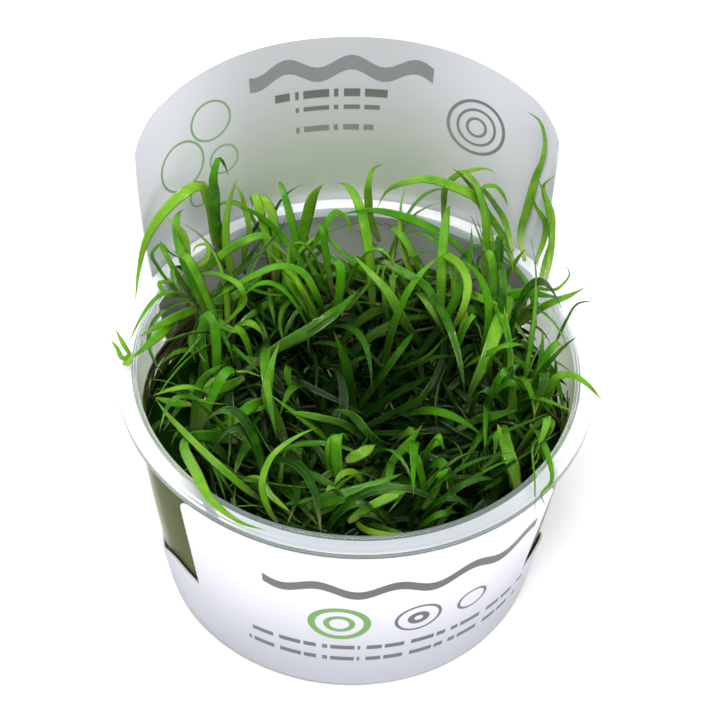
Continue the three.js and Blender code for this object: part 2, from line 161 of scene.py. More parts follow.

# Feature leaves: width, tone from dark green 0 to yellow green 1, and points along the midrib. The tone
# holds each leaf's own green together with painted light and shade.
FEATURES = [
    # Back left
    (2.4, 0.85, [(-24, 35, 48), (-26, 35, 57), (-27, 35, 67), (-29, 34, 73), (-32, 31, 74), (-37, 29, 70),
     (-40, 27, 66), (-42, 24, 60), (-43, 18, 57)]),
    (2.5, 0.3, [(-22, 34, 46), (-24, 34, 55), (-26, 34, 63), (-26, 34, 70), (-26, 33, 77), (-25, 34, 80),
     (-24, 35, 78), (-23, 34, 75)]),
    (1.5, 0.45, [(-6, 32, 46), (-9, 31, 54), (-13, 33, 60), (-17, 33, 65), (-21, 33, 68), (-24, 35, 68)]),
    (2.9, 0.72, [(-9, 36, 50), (-8, 36, 55), (-7, 36, 61), (-6, 35, 67), (-4, 33, 73)]),
    (0.9, 0.5, [(-31, 24, 50), (-35, 23, 55), (-38, 25, 59), (-39, 25, 64), (-37, 26, 65), (-36, 25, 64),
     (-34, 25, 62), (-32, 25, 61)]),
    (1.8, 1, [(-32, 26, 51), (-32, 25, 57), (-32, 24, 63), (-33, 24, 70), (-35, 24, 73), (-37, 26, 73)]),
    (1.2, 0.9, [(-32, 26, 55), (-30, 24, 60), (-28, 24, 63), (-28, 25, 65), (-30, 25, 65), (-31, 25, 63)]),
    (1.2, 0.7, [(-31, 26, 55), (-28, 24, 58), (-25, 21, 60), (-22, 18, 60), (-21, 17, 57), (-23, 17, 53),
     (-28, 16, 48)]),
    (2.2, 0.7, [(-30, 22, 50), (-33, 17, 54), (-37, 11, 58), (-40, 8, 59), (-43, 7, 58)]),
    (1.2, 0.7, [(-32, 23, 50), (-34, 23, 53), (-37, 20, 57), (-38, 22, 58), (-36, 22, 58), (-33, 22, 57)]),
    (1.7, 0.55, [(-4, 24, 42), (-6, 22, 52), (-9, 23, 58), (-14, 22, 61), (-20, 20, 60), (-29, 19, 54)]),
    (1.8, 0.65, [(-31, 27, 52), (-27, 26, 59), (-23, 26, 63), (-20, 25, 66), (-17, 26, 66), (-14, 26, 63),
     (-11, 26, 59)]),
    (1.5, 0.9, [(-20, 34, 47), (-20, 33, 55), (-19, 32, 62), (-20, 33, 68), (-21, 33, 72), (-23, 34, 74)]),
    (0.9, 0.15, [(-20, 35, 50), (-19, 35, 56), (-17, 34, 62), (-15, 34, 66)]),
    # Back middle
    (1.6, 0.6, [(-7, 34, 50), (-5, 33, 57), (-3, 33, 62), (-1, 34, 64), (1, 33, 63), (2, 31, 60)]),
    (1.9, 0.45, [(28, 31, 50), (23, 31, 57), (17, 32, 61), (12, 32, 64), (6, 32, 66), (-1, 32, 65)]),
    (1.9, 0.85, [(9, 39, 50), (7, 39, 56), (6, 38, 63), (6, 38, 68), (7, 39, 71), (9, 38, 73)]),
    (2.2, 0.75, [(34, 23, 46), (32, 26, 54), (30, 30, 61), (28, 31, 68), (23, 31, 72), (16, 32, 74),
     (12, 32, 73), (9, 33, 70), (7, 32, 66)]),
    (1.4, 0.85, [(22, 36, 55), (22, 38, 61), (22, 37, 67), (24, 36, 71), (27, 35, 73), (30, 35, 73),
     (32, 34, 72)]),
    (1.5, 0.65, [(35, 23, 57), (34, 31, 57), (30, 32, 64), (26, 33, 71), (22, 33, 76)]),
    (1.6, 0.75, [(35, 26, 58), (34, 32, 61), (31, 32, 67), (29, 32, 71), (31, 32, 71), (33, 31, 69),
     (34, 31, 66)]),
    # Back right
    (1.8, 0.75, [(37, 23, 58), (37, 29, 60), (38, 30, 67), (39, 31, 74), (40, 31, 80), (40, 32, 84),
     (39, 33, 87), (36, 33, 90)]),
    (1.3, 0.85, [(39, 16, 56), (41, 22, 58), (42, 23, 64), (42, 25, 69), (40, 26, 74), (38, 26, 79)]),
    (1.5, 0.85, [(40, 16, 58), (42, 22, 60), (42, 24, 66), (41, 25, 71), (40, 27, 74), (40, 26, 77),
     (42, 26, 79)]),
    (1.3, 0.7, [(39, 22, 58), (41, 25, 62), (41, 26, 66), (39, 28, 69), (38, 29, 72)]),
    # Right side
    (1.7, 0.8, [(35, 14, 48), (38, 13, 53), (41, 11, 58), (45, 12, 59), (48, 13, 60)]),
    (2.5, 0.5, [(27, 20, 44), (30, 18, 50), (33, 16, 55), (36, 14, 58), (39, 11, 60), (43, 10, 60)]),
    (0.7, 0.8, [(36, 19, 55), (39, 15, 58), (42, 12, 61), (44, 13, 63), (43, 13, 67)]),
    (0.7, 0.2, [(41, 5, 52), (43, 6, 58), (45, 8, 60), (49, 9, 60)]),
    (2, 0.75, [(33, -4, 46), (37, -8, 53), (39, -10, 59), (41, -12, 61), (43, -14, 61), (46, -17, 59)]),
    (2.9, 0.75, [(34, 23, 52), (32, 13, 56), (29, 6, 57), (26, 0, 54), (23, -3, 48), (21, -6, 42)]),
    (2.9, 0.6, [(32, -10, 40), (31, -4, 46), (31, 2, 54), (30, 7, 62)]),
    (1.7, 0.5, [(32, -4, 44), (32, -3, 48), (35, -4, 51), (37, -6, 51), (38, -8, 48), (37, -10, 45)]),
    (2.1, 0.35, [(19, -10, 44), (23, -9, 46), (26, -10, 48), (31, -11, 51)]),
    (2.8, 0.8, [(29, -28, 46), (28, -25, 50), (27, -22, 52), (26, -16, 53)]),
    # Front right
    (1.2, 0.55, [(33, -14, 50), (33, -26, 58), (33, -32, 60), (33, -35, 60), (33, -35, 57), (31, -37, 57),
     (32, -37, 53)]),
    (0.45, 0.5, [(33, -22, 55), (30, -30, 60), (30, -34, 58), (30, -38, 52)]),
    (2.5, 0.75, [(10, -29, 44), (12, -28, 48), (13, -28, 52), (15, -28, 55)]),
    (1.7, 0.55, [(11, -27, 45), (10, -25, 50), (9, -23, 53), (6, -21, 54)]),
    (1.9, 0.6, [(3, -21, 43), (6, -19, 48), (9, -18, 52), (11, -17, 55)]),
    (1.7, 0.45, [(0, -5, 40), (6, -5, 44), (10, -6, 48), (13, -6, 51), (14, -6, 56)]),
    # Middle
    (1.1, 0.5, [(7, 4, 42), (9, 4, 46), (12, 3, 50), (16, 3, 52), (21, 4, 51)]),
    (1, 0.55, [(3, 8, 50), (6, 5, 48), (11, 3, 50), (15, 3, 53), (18, 4, 57)]),
    (1.9, 0.9, [(22, 35, 54), (21, 26, 58), (23, 21, 60), (24, 15, 60), (23, 12, 57), (21, 11, 52),
     (18, 10, 47)]),
    (2.1, 0.3, [(8, 25, 58), (12, 20, 59), (16, 18, 57), (18, 15, 53), (18, 12, 48)]),
    (2.2, 0.7, [(15, 13, 45), (11, 14, 52), (8, 17, 57), (4, 21, 60), (1, 25, 61)]),
    (0.9, 0.8, [(0, 19, 50), (3, 20, 54), (6, 21, 58), (7, 22, 61)]),
    (2.7, 0.35, [(-22, 7, 46), (-16, 9, 50), (-9, 10, 54), (-3, 13, 56), (3, 19, 57)]),
    (1.9, 0.65, [(-6, 21, 44), (-9, 22, 51), (-12, 22, 57), (-14, 23, 61)]),
    (1.5, 0.85, [(-6, 21, 44), (-8, 21, 52), (-10, 21, 57), (-11, 23, 59)]),
    (2.3, 0.4, [(0, -1, 40), (-1, 1, 46), (-2, 4, 52), (-4, 7, 57)]),
    (2.4, 0.65, [(-14, -9, 40), (-16, -6, 45), (-18, -3, 50), (-17, 0, 55), (-15, 4, 58)]),
    # Front left
    (2.3, 0.55, [(-18, -1, 47), (-23, -7, 50), (-27, -11, 49)]),
    (1.7, 0.65, [(-33, -6, 52), (-36, -8, 55), (-40, -9, 58)]),
    (1.6, 0.75, [(-19, -26, 44), (-24, -26, 50), (-29, -23, 54), (-35, -17, 57), (-38, -14, 59),
     (-40, -10, 59)]),
    (2.1, 0.75, [(-33, -12, 50), (-35, -22, 58), (-33, -31, 61), (-31, -37, 61), (-26, -42, 60),
     (-21, -42, 57)]),
    (1.4, 0.8, [(-18, -33, 47), (-20, -33, 52), (-21, -31, 57), (-19, -28, 61), (-14, -25, 63),
     (-10, -23, 63)]),
    (1.8, 1, [(-24, -24, 50), (-21, -27, 53), (-19, -31, 53), (-16, -34, 52)]),
    # Front middle
    (1.9, 0.6, [(1, -11, 44), (-3, -10, 48), (-9, -10, 51), (-15, -9, 52)]),
    (2.2, 0.4, [(5, -13, 43), (1, -12, 48), (-2, -10, 51), (-5, -10, 53)]),
    (2.5, 1, [(-4, -20, 49), (-1, -20, 51), (2, -18, 51)]),
    (1.7, 1, [(-1, -23, 46), (-3, -23, 49), (-5, -24, 50), (-7, -26, 49)]),
    (2.7, 0.4, [(-13, -29, 46), (-7, -30, 50), (0, -29, 52), (6, -28, 54)]),
    (2.1, 0.7, [(-5, -35, 49), (-1, -34, 52), (4, -33, 54), (8, -32, 55)]),
    # Left side
    (2.4, 0.25, [(-24, -11, 46), (-29, -12, 49), (-33, -13, 51), (-37, -14, 52)]),
    (2, 0.35, [(-33, -6, 44), (-32, -4, 50), (-31, -3, 55), (-29, -3, 58), (-26, -2, 59)]),
    (2.2, 0.5, [(-22, 4, 48), (-26, 0, 50), (-31, -2, 51), (-35, 0, 51)]),
    # Front lip
    (1.3, 0.9, [(-4, -32, 47), (-2, -37, 49), (2, -40, 51), (6, -41, 52)]),
    # Sprout and leaf over the left rim
    (1, 0.95, [(-44, 2, 58), (-45, 2, 60), (-46, 3, 62), (-47, 5, 63)]),
    (1, 0.9, [(-44, 2, 58), (-46, 1, 59), (-47, 2, 61), (-48, 3, 62)]),
    (2.2, 1, [(-44, 2, 59), (-45, 1, 58), (-46, 0, 58)]),
    (1.9, 0.7, [(-35, 15, 54), (-39, 6, 59), (-42, 2, 60), (-45, 1, 58)]),
]


# Camera
def add_camera():
    """Looks back at its aim above the cup's middle, then rolls about its own axis."""
    facing = Matrix.Rotation(math.radians(CAMERA_AZIMUTH), 4, "Z")
    facing @= Matrix.Rotation(math.radians(90 - CAMERA_ELEVATION), 4, "X")
    aim = Matrix.Translation((0, 0, AIM_HEIGHT * MM))
    away = Matrix.Translation((AIM_RIGHT * MM, 0, CAMERA_DISTANCE * MM))
    data = bpy.data.cameras.new("camera")
    data.sensor_width = SENSOR
    data.lens = LENS
    data.clip_start = 0.01
    camera = bpy.data.objects.new("camera", data)
    bpy.context.scene.collection.objects.link(camera)
    camera.matrix_world = aim @ facing @ away @ Matrix.Rotation(math.radians(CAMERA_ROLL), 4, "Z")
    bpy.context.scene.camera = camera


# Meshes
def make_piece(name, points, faces, uv=None, growth=None, materials=(), material_index=None):
    """An object from points in millimetres and arrays of faces, one array for each number of
    corners. uv and growth are given by point."""
    mesh = bpy.data.meshes.new(name)
    corners = np.concatenate([face.ravel() for face in faces]).astype(np.int32)
    sizes = np.concatenate([np.full(len(face), face.shape[1]) for face in faces])
    starts = np.concatenate([[0], np.cumsum(sizes)[:-1]]).astype(np.int32)
    mesh.vertices.add(len(points))
    mesh.vertices.foreach_set("co", (points * MM).astype(np.float32).ravel())
    mesh.loops.add(len(corners))
    mesh.loops.foreach_set("vertex_index", corners)
    mesh.polygons.add(len(sizes))
    mesh.polygons.foreach_set("loop_start", starts)
    mesh.polygons.foreach_set("use_smooth", np.ones(len(sizes), bool))
    if uv is not None:
        layer = mesh.uv_layers.new(name="surface")
        layer.data.foreach_set("uv", uv[corners].astype(np.float32).ravel())
    if growth is not None:
        layer = mesh.attributes.new("growth", "FLOAT_COLOR", "POINT")
        layer.data.foreach_set("color", growth.astype(np.float32).ravel())
    for material in materials:
        mesh.materials.append(material)
    if material_index is not None:
        mesh.polygons.foreach_set("material_index", material_index.astype(np.int32))
    mesh.update(calc_edges=True)
    piece = bpy.data.objects.new(name, mesh)
    bpy.context.scene.collection.objects.link(piece)
    return piece


def ring_faces(rows, columns):
    """The four-cornered faces of a closed band of rows, each row a ring of columns, and the two
    faces that close its ends."""
    row, column = np.meshgrid(np.arange(rows - 1), np.arange(columns), indexing="ij")
    beside = (column + 1) % columns
    here = row * columns
    above = here + columns
    band = np.stack([here + column, here + beside, above + beside, above + column], -1)
    first = np.arange(columns)[None]
    return band.reshape(-1, 4), np.concatenate([first[:, ::-1], first + (rows - 1) * columns])


def joined(parts):
    """One set of points, faces, uv and growth from several lofts."""
    starts = np.cumsum([0] + [len(part["points"]) for part in parts])
    caps = [part["caps"] + start for part, start in zip(parts, starts)]
    faces = [np.concatenate([part["quads"] + start for part, start in zip(parts, starts)])]
    for corners in sorted({cap.shape[1] for cap in caps}):
        faces.append(np.concatenate([cap for cap in caps if cap.shape[1] == corners]))
    points = np.concatenate([part["points"] for part in parts])
    uv = np.concatenate([part["uv"] for part in parts])
    growth = np.concatenate([part["growth"] for part in parts])
    return points, faces, uv, growth


# Lofts. A section is a loop of (across, fold, thickness) places: across and fold are shares of the
# blade's half width, thickness is a share of its thickness.
BLADE_SECTION = np.array([
    (-1, 0.2, 0), (-0.55, 0.08, 0.5), (0, 0, 0.3), (0.55, 0.08, 0.5),
    (1, 0.2, 0), (0.55, 0.08, -0.5), (0, 0, -1), (-0.55, 0.08, -0.5),
])
FILL_SECTION = np.array([
    (-1, 0.2, 0), (0, 0, 0.35), (1, 0.2, 0), (0.5, 0.1, -0.5), (0, 0, -0.9), (-0.5, 0.1, -0.5),
])
ROUND_SECTION = np.array([
    (-math.cos(turn), math.sin(turn), 0) for turn in np.radians(np.arange(0, 360, 60))
])


def loft(paths, across, half, thickness, section, growth, twist=None):
    """Sections carried along paths. paths is (count, stations, 3), across the same or a vector for
    each path, half the half widths (count, stations). The frame at a station is the path's
    direction, across made square to it, and their cross product, turned by twist."""
    count, stations = half.shape
    along = np.gradient(paths, axis=1)
    along /= np.linalg.norm(along, axis=2, keepdims=True)
    if across.ndim == 2:
        across = np.repeat(across[:, None], stations, 1)
    side = across - along * np.sum(across * along, 2, keepdims=True)
    side /= np.linalg.norm(side, axis=2, keepdims=True)
    above = np.cross(along, side)
    if twist is not None:
        turn = np.radians(twist)[..., None]
        side, above = (
            side * np.cos(turn) + above * np.sin(turn),
            above * np.cos(turn) - side * np.sin(turn),
        )
    lateral = section[:, 0] * half[..., None]
    rise = section[:, 1] * half[..., None] + section[:, 2] * thickness[..., None]
    points = (
        paths[:, :, None]
        + side[:, :, None] * lateral[..., None]
        + above[:, :, None] * rise[..., None]
    )
    corners = len(section)
    quads, caps = ring_faces(stations, corners)
    starts = (np.arange(count) * stations * corners)[:, None, None]
    place = np.linspace(0, 1, stations)
    uv = np.empty((count, stations, corners, 2))
    uv[..., 0] = section[:, 0] * 0.5 + 0.5
    uv[..., 1] = place[:, None]
    spread = np.repeat(np.repeat(growth[:, None, None], stations, 1), corners, 2)
    return {
        "points": points.reshape(-1, 3),
        "quads": (quads[:, ::-1] + starts).reshape(-1, 4),
        "caps": (caps[:, ::-1] + starts).reshape(-1, corners),
        "uv": uv.reshape(-1, 2),
        "growth": spread.reshape(-1, 4),
    }


# Shapes shared by the pieces
def cup_radius(height):
    """The cup's outer radius: its flare is quick near the base and slow near the top."""
    rise = np.clip(np.asarray(height, float) / WALL_TOP, 0, 1)
    return BASE_RADIUS + WALL_FLARE * (1 - (1 - rise) ** WALL_CURVE)


def smoothstep(value, low, high):
    """0 up to low, 1 from high, and the cubic 3 s squared less 2 s cubed between them."""
    share = np.clip((value - low) / (high - low), 0, 1)
    return share * share * (3 - 2 * share)


def card_radius(angle, height):
    """The card's outer radius: a cone whose slope goes smoothly from the front's to the back's."""
    share = smoothstep(np.abs(angle), SLOPE_FROM, SLOPE_TO)
    slope = FRONT_SLOPE + (BACK_SLOPE - FRONT_SLOPE) * share
    return CARD_RADIUS + slope * (height - CARD_FOOT)


def card_top(angle):
    """The height of the card's upper edge: front panel with round corners, a strip that falls and
    rises smoothly at the side, and the header. The sleeve sits a little turned on the cup."""
    back = np.abs((angle - SLEEVE_TURN) % 360 - 180)
    front = 180 - back
    inset = np.radians(PANEL_HALF_ANGLE - front) * card_radius(front, PANEL_TOP)
    reach = np.clip(PANEL_CORNER - inset, 0, PANEL_CORNER)
    panel = PANEL_TOP - PANEL_CORNER + np.sqrt(PANEL_CORNER ** 2 - reach ** 2)
    passed = np.maximum(front - PANEL_HALF_ANGLE, 0)
    along = passed / (passed + np.maximum(back - HEADER_HALF_ANGLE, 0) + 1e-9)
    dip = smoothstep(along, *STRIP_FALL) * (1 - smoothstep(along, *STRIP_RISE))
    strip = STRIP_TOP + (STRIP_LOW - STRIP_TOP) * dip
    shoulder = HEADER_TOP - HEADER_CROWN
    arched = HEADER_TOP - HEADER_CROWN * (back / HEADER_CORNER_INNER) ** 3
    share = (back - HEADER_CORNER_INNER) / (HEADER_CORNER_OUTER - HEADER_CORNER_INNER)
    corner = 1 - (1 - np.clip(share, 0, 1) ** 1.4) ** 0.75
    rounded = shoulder - HEADER_CORNER_DROP * corner
    side = (HEADER_HALF_ANGLE - back) / (HEADER_HALF_ANGLE - HEADER_CORNER_OUTER)
    foot = shoulder - HEADER_CORNER_DROP
    edge = STRIP_TOP + (foot - STRIP_TOP) * np.clip(side, 0, 1) ** 0.25
    choices = [front <= PANEL_HALF_ANGLE, back >= HEADER_HALF_ANGLE]
    choices += [back <= HEADER_CORNER_INNER, back <= HEADER_CORNER_OUTER]
    return np.select(choices, [panel, strip, arched, rounded], edge)


def mat_height(x, y):
    """The top of the mat, a shallow bowl that stands higher at the back."""
    return MAT_CENTRE + MAT_RISE * (x * x + y * y) / MAT_RISE_RADIUS ** 2 + MAT_BACK_RISE * y


def has_room(paths, half):
    """Which paths stay clear of the mat, the cup's wall and rim, and the card, at every station."""
    x, y, z = np.moveaxis(paths, 2, 0)
    margin = half + LEAF_GAP
    radius = np.hypot(x, y)
    angle = np.degrees(np.arctan2(x, -y))
    by_header = (180 - np.abs(angle) < HEADER_HALF_ANGLE + 2) & (z < HEADER_TOP + 2)
    clear = ~by_header | (radius < card_radius(angle, z) - CARD_THICKNESS - margin)
    clear &= z > mat_height(x, y) + 0.4
    inner = np.where(z < WALL_TOP, cup_radius(z) - WALL, LIP_INNER)
    inside = (z > CROSSING + margin * 0.7) | (radius < inner - margin)
    beyond = (z > FLANGE_TOP + 0.8) & (radius > LIP_OUTER + margin)
    outside = ~by_header & (radius > RIM_RADIUS + margin)
    return np.all(clear & (inside | beyond | outside), axis=1)


def hollow(x, y):
    """1 in the dark hollow's centre, falling to 0 around it: e to the minus distance squared."""
    across = (x - HOLLOW_CENTRE[0]) / HOLLOW_REACH[0]
    deep = (y - HOLLOW_CENTRE[1]) / HOLLOW_REACH[1]
    return np.exp(-(across ** 2 + deep ** 2))


def leaf_tops(x, y, middle, lean):
    """A bowl of heights: the middle's, more with the square of the radius, and a lean backwards."""
    return middle + CANOPY_RISE * (x * x + y * y) / CANOPY_RADIUS ** 2 + lean * y


def canopy_height(x, y):
    """The height that most tips stay under: low over the hollow, high at the rim."""
    return leaf_tops(x, y, CANOPY_MIDDLE, 0.06) - HOLLOW_DEPTH * hollow(x, y)


# Leaves
def places(stations):
    """Places along a blade from 0 to 1, closer together towards the tip."""
    t = np.linspace(0, 1, stations)
    return t + 0.1 * np.sin(np.pi * t) * t


def blade_half(width, stations):
    """A blade's half width along its length: narrow stalk, even strap, long pointed tip."""
    t = places(stations)
    swell = np.sin(np.pi * np.minimum(t / 1.1, 1) ** 0.8)
    taper = np.maximum(1 - t ** 6, 0.02)
    return width[:, None] * 0.5 * (0.42 + 0.58 * swell) * taper


def parabola_paths(crowns, leaves, stations):
    """Midribs that reach along a heading, climb, arch up and bow to the left of the heading."""
    heading, reach, climb, arch, bow = leaves[:, :5].T[..., None]
    t = places(stations)
    bulge = 4 * t * (1 - t)
    turn = np.radians(heading)
    out = ROOT_OFFSET + (reach - ROOT_OFFSET) * t
    sway = bow * bulge
    paths = np.stack([
        np.cos(turn) * out - np.sin(turn) * sway,
        np.sin(turn) * out + np.cos(turn) * sway,
        climb * t + arch * bulge,
    ], -1)
    left = np.concatenate([-np.sin(turn), np.cos(turn), 0 * turn], 1)
    return crowns[:, None] + paths, left


def curling_paths(starts, heading, turn, pitch_from, pitch_to, bend, length, stations):
    """Midribs as running sums of short steps. The heading turns evenly along the blade, and the
    pitch goes from its first value to its last with the place to the power bend."""
    t = places(stations)
    way = np.radians(heading[:, None] + turn[:, None] * t)
    pitch = pitch_from[:, None] + (pitch_to - pitch_from)[:, None] * t ** bend[:, None]
    pitch = np.radians(pitch)
    step = np.stack([np.cos(pitch) * np.cos(way), np.cos(pitch) * np.sin(way), np.sin(pitch)], -1)
    middle = (step[:, 1:] + step[:, :-1]) / 2 * length[:, None, None] * np.diff(t)[None, :, None]
    paths = np.concatenate([np.zeros((len(starts), 1, 3)), np.cumsum(middle, 1)], 1)
    left = np.stack([-np.sin(way), np.cos(way), np.zeros_like(way)], -1)
    return starts[:, None] + paths, left


def midrib(points, stations):
    """A smooth curve through a leaf's points, in cubic pieces. The slope at a point is that of the
    line between its neighbours."""
    points = np.array(points, float)
    gaps = np.linalg.norm(np.diff(points, axis=0), axis=1)
    knots = np.concatenate([[0], np.cumsum(gaps)])
    slopes = np.gradient(points, knots, axis=0)
    place = knots[-1] * places(stations)
    piece = np.clip(np.searchsorted(knots, place, side="right") - 1, 0, len(gaps) - 1)
    gap = gaps[piece][:, None]
    s = (place - knots[piece])[:, None] / gap
    begin = points[piece] * (1 + 2 * s) * (1 - s) ** 2 + slopes[piece] * gap * s * (1 - s) ** 2
    end = points[piece + 1] * s ** 2 * (3 - 2 * s) + slopes[piece + 1] * gap * s ** 2 * (s - 1)
    return begin + end


def leaf_number_run(seed):
    """A repeatable run of numbers from 0 to 1, the one that the solids were grown with."""
    state = seed
    while True:
        state = (state * 1664525 + 1013904223) % 4294967296
        yield state / 4294967296


def grown_crown(number):
    """A crown's place in a sunflower pattern over the mat."""
    radius = GROWN_DISC * math.sqrt((number + 0.6) / GROWN_COUNT)
    turn = math.radians(GOLDEN_ANGLE * number)
    x, y = radius * math.cos(turn), radius * math.sin(turn)
    return x, y, mat_height(x, y) + 2.6 + 7 * next(leaf_number_run(977 * (number + 1)))


def drawn_leaves(crown, owner):
    """The leaves that were tried on a crown, in their order."""
    run = leaf_number_run(7919 * (owner + 3))
    draws = np.fromiter(run, float, LEAF_DRAWS * 6).reshape(-1, 6)
    heading = 360 * draws[:, 0]
    reach = 6 + 24 * draws[:, 1]
    x = crown[0] + reach * np.cos(np.radians(heading))
    y = crown[1] + reach * np.sin(np.radians(heading))
    climb = leaf_tops(x, y, 44, 0.12) - crown[2] + 14 * (draws[:, 2] - 0.5)
    rest = [3 + 11 * draws[:, 3], 12 * (draws[:, 4] - 0.5), 1.8 + 0.8 * draws[:, 5]]
    return np.stack([heading, reach, climb, *rest], 1)


def node_points(node):
    """A solid's corners, in millimetres."""
    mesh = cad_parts[node].data
    points = np.empty(len(mesh.vertices) * 3, np.float32)
    mesh.vertices.foreach_get("co", points)
    return points.reshape(-1, 3) / MM


def find_plantlets():
    """The plantlets of the frame: each node's crown, and those leaves whose tips it has."""
    crowns = CHOSEN + [(grown_crown(number), []) for number in range(GROWN_COUNT)]
    solids = {n: node_points(n) for n in sorted(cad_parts) if n.startswith("plantlet_")}
    plantlets = []
    for owner, (crown, chosen) in enumerate(crowns):
        foot = (crown[0] + FOOT_ACROSS, crown[1], mat_height(crown[0], crown[1]) + FOOT_GAP)
        near = {n: np.abs(points - foot).max(1).min() for n, points in solids.items()}
        node = min(near, key=near.get)
        if near[node] > 0.05:
            continue
        tried = np.concatenate([np.reshape(chosen, (-1, 6)), drawn_leaves(crown, owner)])
        turn = np.radians(tried[:, 0])
        reach = tried[:, 1]
        tips = np.stack([np.cos(turn) * reach, np.sin(turn) * reach, tried[:, 2]], 1) + crown
        gaps = np.abs(tips[:, None] - solids[node][None]).max(2).min(1)
        plantlets.append({"node": node, "crown": np.array(crown, float), "leaves": tried[gaps < 0.03]})
    return plantlets


def main_leaves(plantlet, number):
    """The leaves that a plantlet's solid has, a little narrower."""
    leaves = plantlet["leaves"]
    crowns = np.repeat(plantlet["crown"][None], len(leaves), 0)
    paths, left = parabola_paths(crowns, leaves, MAIN_STATIONS)
    half = 0.9 * blade_half(leaves[:, 5], MAIN_STATIONS)
    return {"owner": np.full(len(leaves), number), "paths": paths, "left": left, "half": half}


def leaf_cells(paths, left, half):
    """The millimetre cells that each leaf fills, under its midrib and both its edges."""
    if left.ndim == 2:
        left = left[:, None]
    edge = left * half[..., None] * 0.8
    points = np.concatenate([paths, paths + edge, paths - edge], 1)
    cells = np.floor(points - CELLS_LOW).astype(int)
    return np.clip(cells, 0, np.subtract(CELLS_SIZE, 1))


def fill_cells(filled, leaves):
    """Marks the cells of leaves with the numbers of their plantlets."""
    cells = leaf_cells(leaves["paths"], leaves["left"], leaves["half"])
    for number, own in zip(leaves["owner"], cells):
        filled[tuple(own.T)] = number


def tried_leaves(crowns, random):
    """Curling and bending midribs that start close around their crowns, and half widths."""
    count = len(crowns)
    turn = random.uniform(0, 2 * np.pi, count)
    starts = crowns + np.stack([
        0.7 * np.cos(turn), 0.7 * np.sin(turn), random.uniform(-2, 1.5, count),
    ], 1)
    heading = np.degrees(turn) + random.uniform(-30, 30, count)
    sway = random.normal(0, 85, count)
    pitch_from = random.uniform(8, 88, count)
    pitch_to = random.uniform(-70, 50, count)
    curly = random.uniform(0, 1, count) < 0.2
    pitch_to = np.where(curly, pitch_to - 90, pitch_to)
    bend = random.uniform(0.8, 2.2, count)
    length = random.uniform(15, 42, count)
    half = blade_half(random.uniform(0.8, 2.0, count), FILL_STATIONS)
    paths, left = curling_paths(
        starts, heading, sway, pitch_from, pitch_to, bend, length, FILL_STATIONS)
    return paths, left, half


def fill_leaves(plantlets, filled, random):
    """More leaves for each plantlet, taken from many tries wherever they find room."""
    owner = np.repeat(np.arange(len(plantlets)), FILL_TRIES)
    count = len(owner)
    crowns = np.array([plantlet["crown"] for plantlet in plantlets])
    paths, left, half = tried_leaves(crowns[owner], random)
    peak = paths[np.arange(count), paths[:, :, 2].argmax(1)]
    good = has_room(paths, half)
    good &= peak[:, 2] < canopy_height(peak[:, 0], peak[:, 1]) + random.exponential(3.5, count)
    good &= np.hypot(paths[:, -1, 0], paths[:, -1, 1]) < 46.5
    cells = leaf_cells(paths, left, half)
    behind = np.clip((crowns[:, 1] - 14) / 12, 0, 1)
    wanted = 13 - 11 * hollow(crowns[:, 0], crowns[:, 1]) - 5 * behind
    picked = []
    for number, most in enumerate(wanted):
        taken = 0
        for leaf in np.flatnonzero(good & (owner == number)):
            place = tuple(cells[leaf].T)
            others = (filled[place] >= 0) & (filled[place] != number)
            if taken < most and np.mean(others) < 0.12:
                filled[place] = number
                picked.append(leaf)
                taken += 1
    twist = random.normal(0, 55, count)[picked, None] * np.linspace(0, 1, FILL_STATIONS)
    twist = twist + random.normal(0, 14, count)[picked, None]
    return {
        "owner": owner[picked], "paths": paths[picked], "left": left[picked], "half": half[picked],
        "twist": twist, "growth": growth_values(len(picked), random, dark=0.04),
    }


def growth_values(count, random, dark=0.0):
    """What the leaf finish reads of each leaf: its tone from dark to light green, its age, a
    number of its own, and 1 for a leaf."""
    growth = np.ones((count, 4))
    growth[:, 0] = np.clip(random.beta(2, 2.4, count) - dark, 0, 1)
    growth[:, 1] = random.uniform(0, 1, count) ** 3
    growth[:, 2] = random.uniform(0, 1, count)
    return growth


def feature_leaves(plantlets, random):
    """The feature leaves, each with the number of the plantlet whose crown is nearest."""
    crowns = np.array([plantlet["crown"] for plantlet in plantlets])
    count = len(FEATURES)
    paths = np.array([midrib(points, MAIN_STATIONS) for width, tone, points in FEATURES])
    left = np.cross(FACING, np.gradient(paths, axis=1))
    left /= np.linalg.norm(left, axis=2, keepdims=True)
    t = np.linspace(0, 1, MAIN_STATIONS)
    wave = np.sin(2 * np.pi * (t + random.uniform(0, 1, count)[:, None]))
    twist = 26 * wave + random.normal(0, 12, count)[:, None]
    growth = growth_values(count, random)
    growth[:, 0] = [tone for width, tone, points in FEATURES]
    return {
        "owner": np.linalg.norm(paths[:, None, 0] - crowns[None], axis=2).argmin(1),
        "paths": paths, "left": left, "twist": twist, "growth": growth,
        "half": blade_half(np.array([width for width, tone, points in FEATURES]), MAIN_STATIONS),
    }


def own_loft(leaves, number, section, thickest):
    """The loft of those leaves of a set that a plantlet owns, in a list, or an empty list."""
    mine = leaves["owner"] == number
    if not mine.any():
        return []
    half = leaves["half"][mine]
    return [loft(
        leaves["paths"][mine], leaves["left"][mine], half, np.minimum(thickest, half * 0.5), section,
        leaves["growth"][mine], leaves["twist"][mine])]


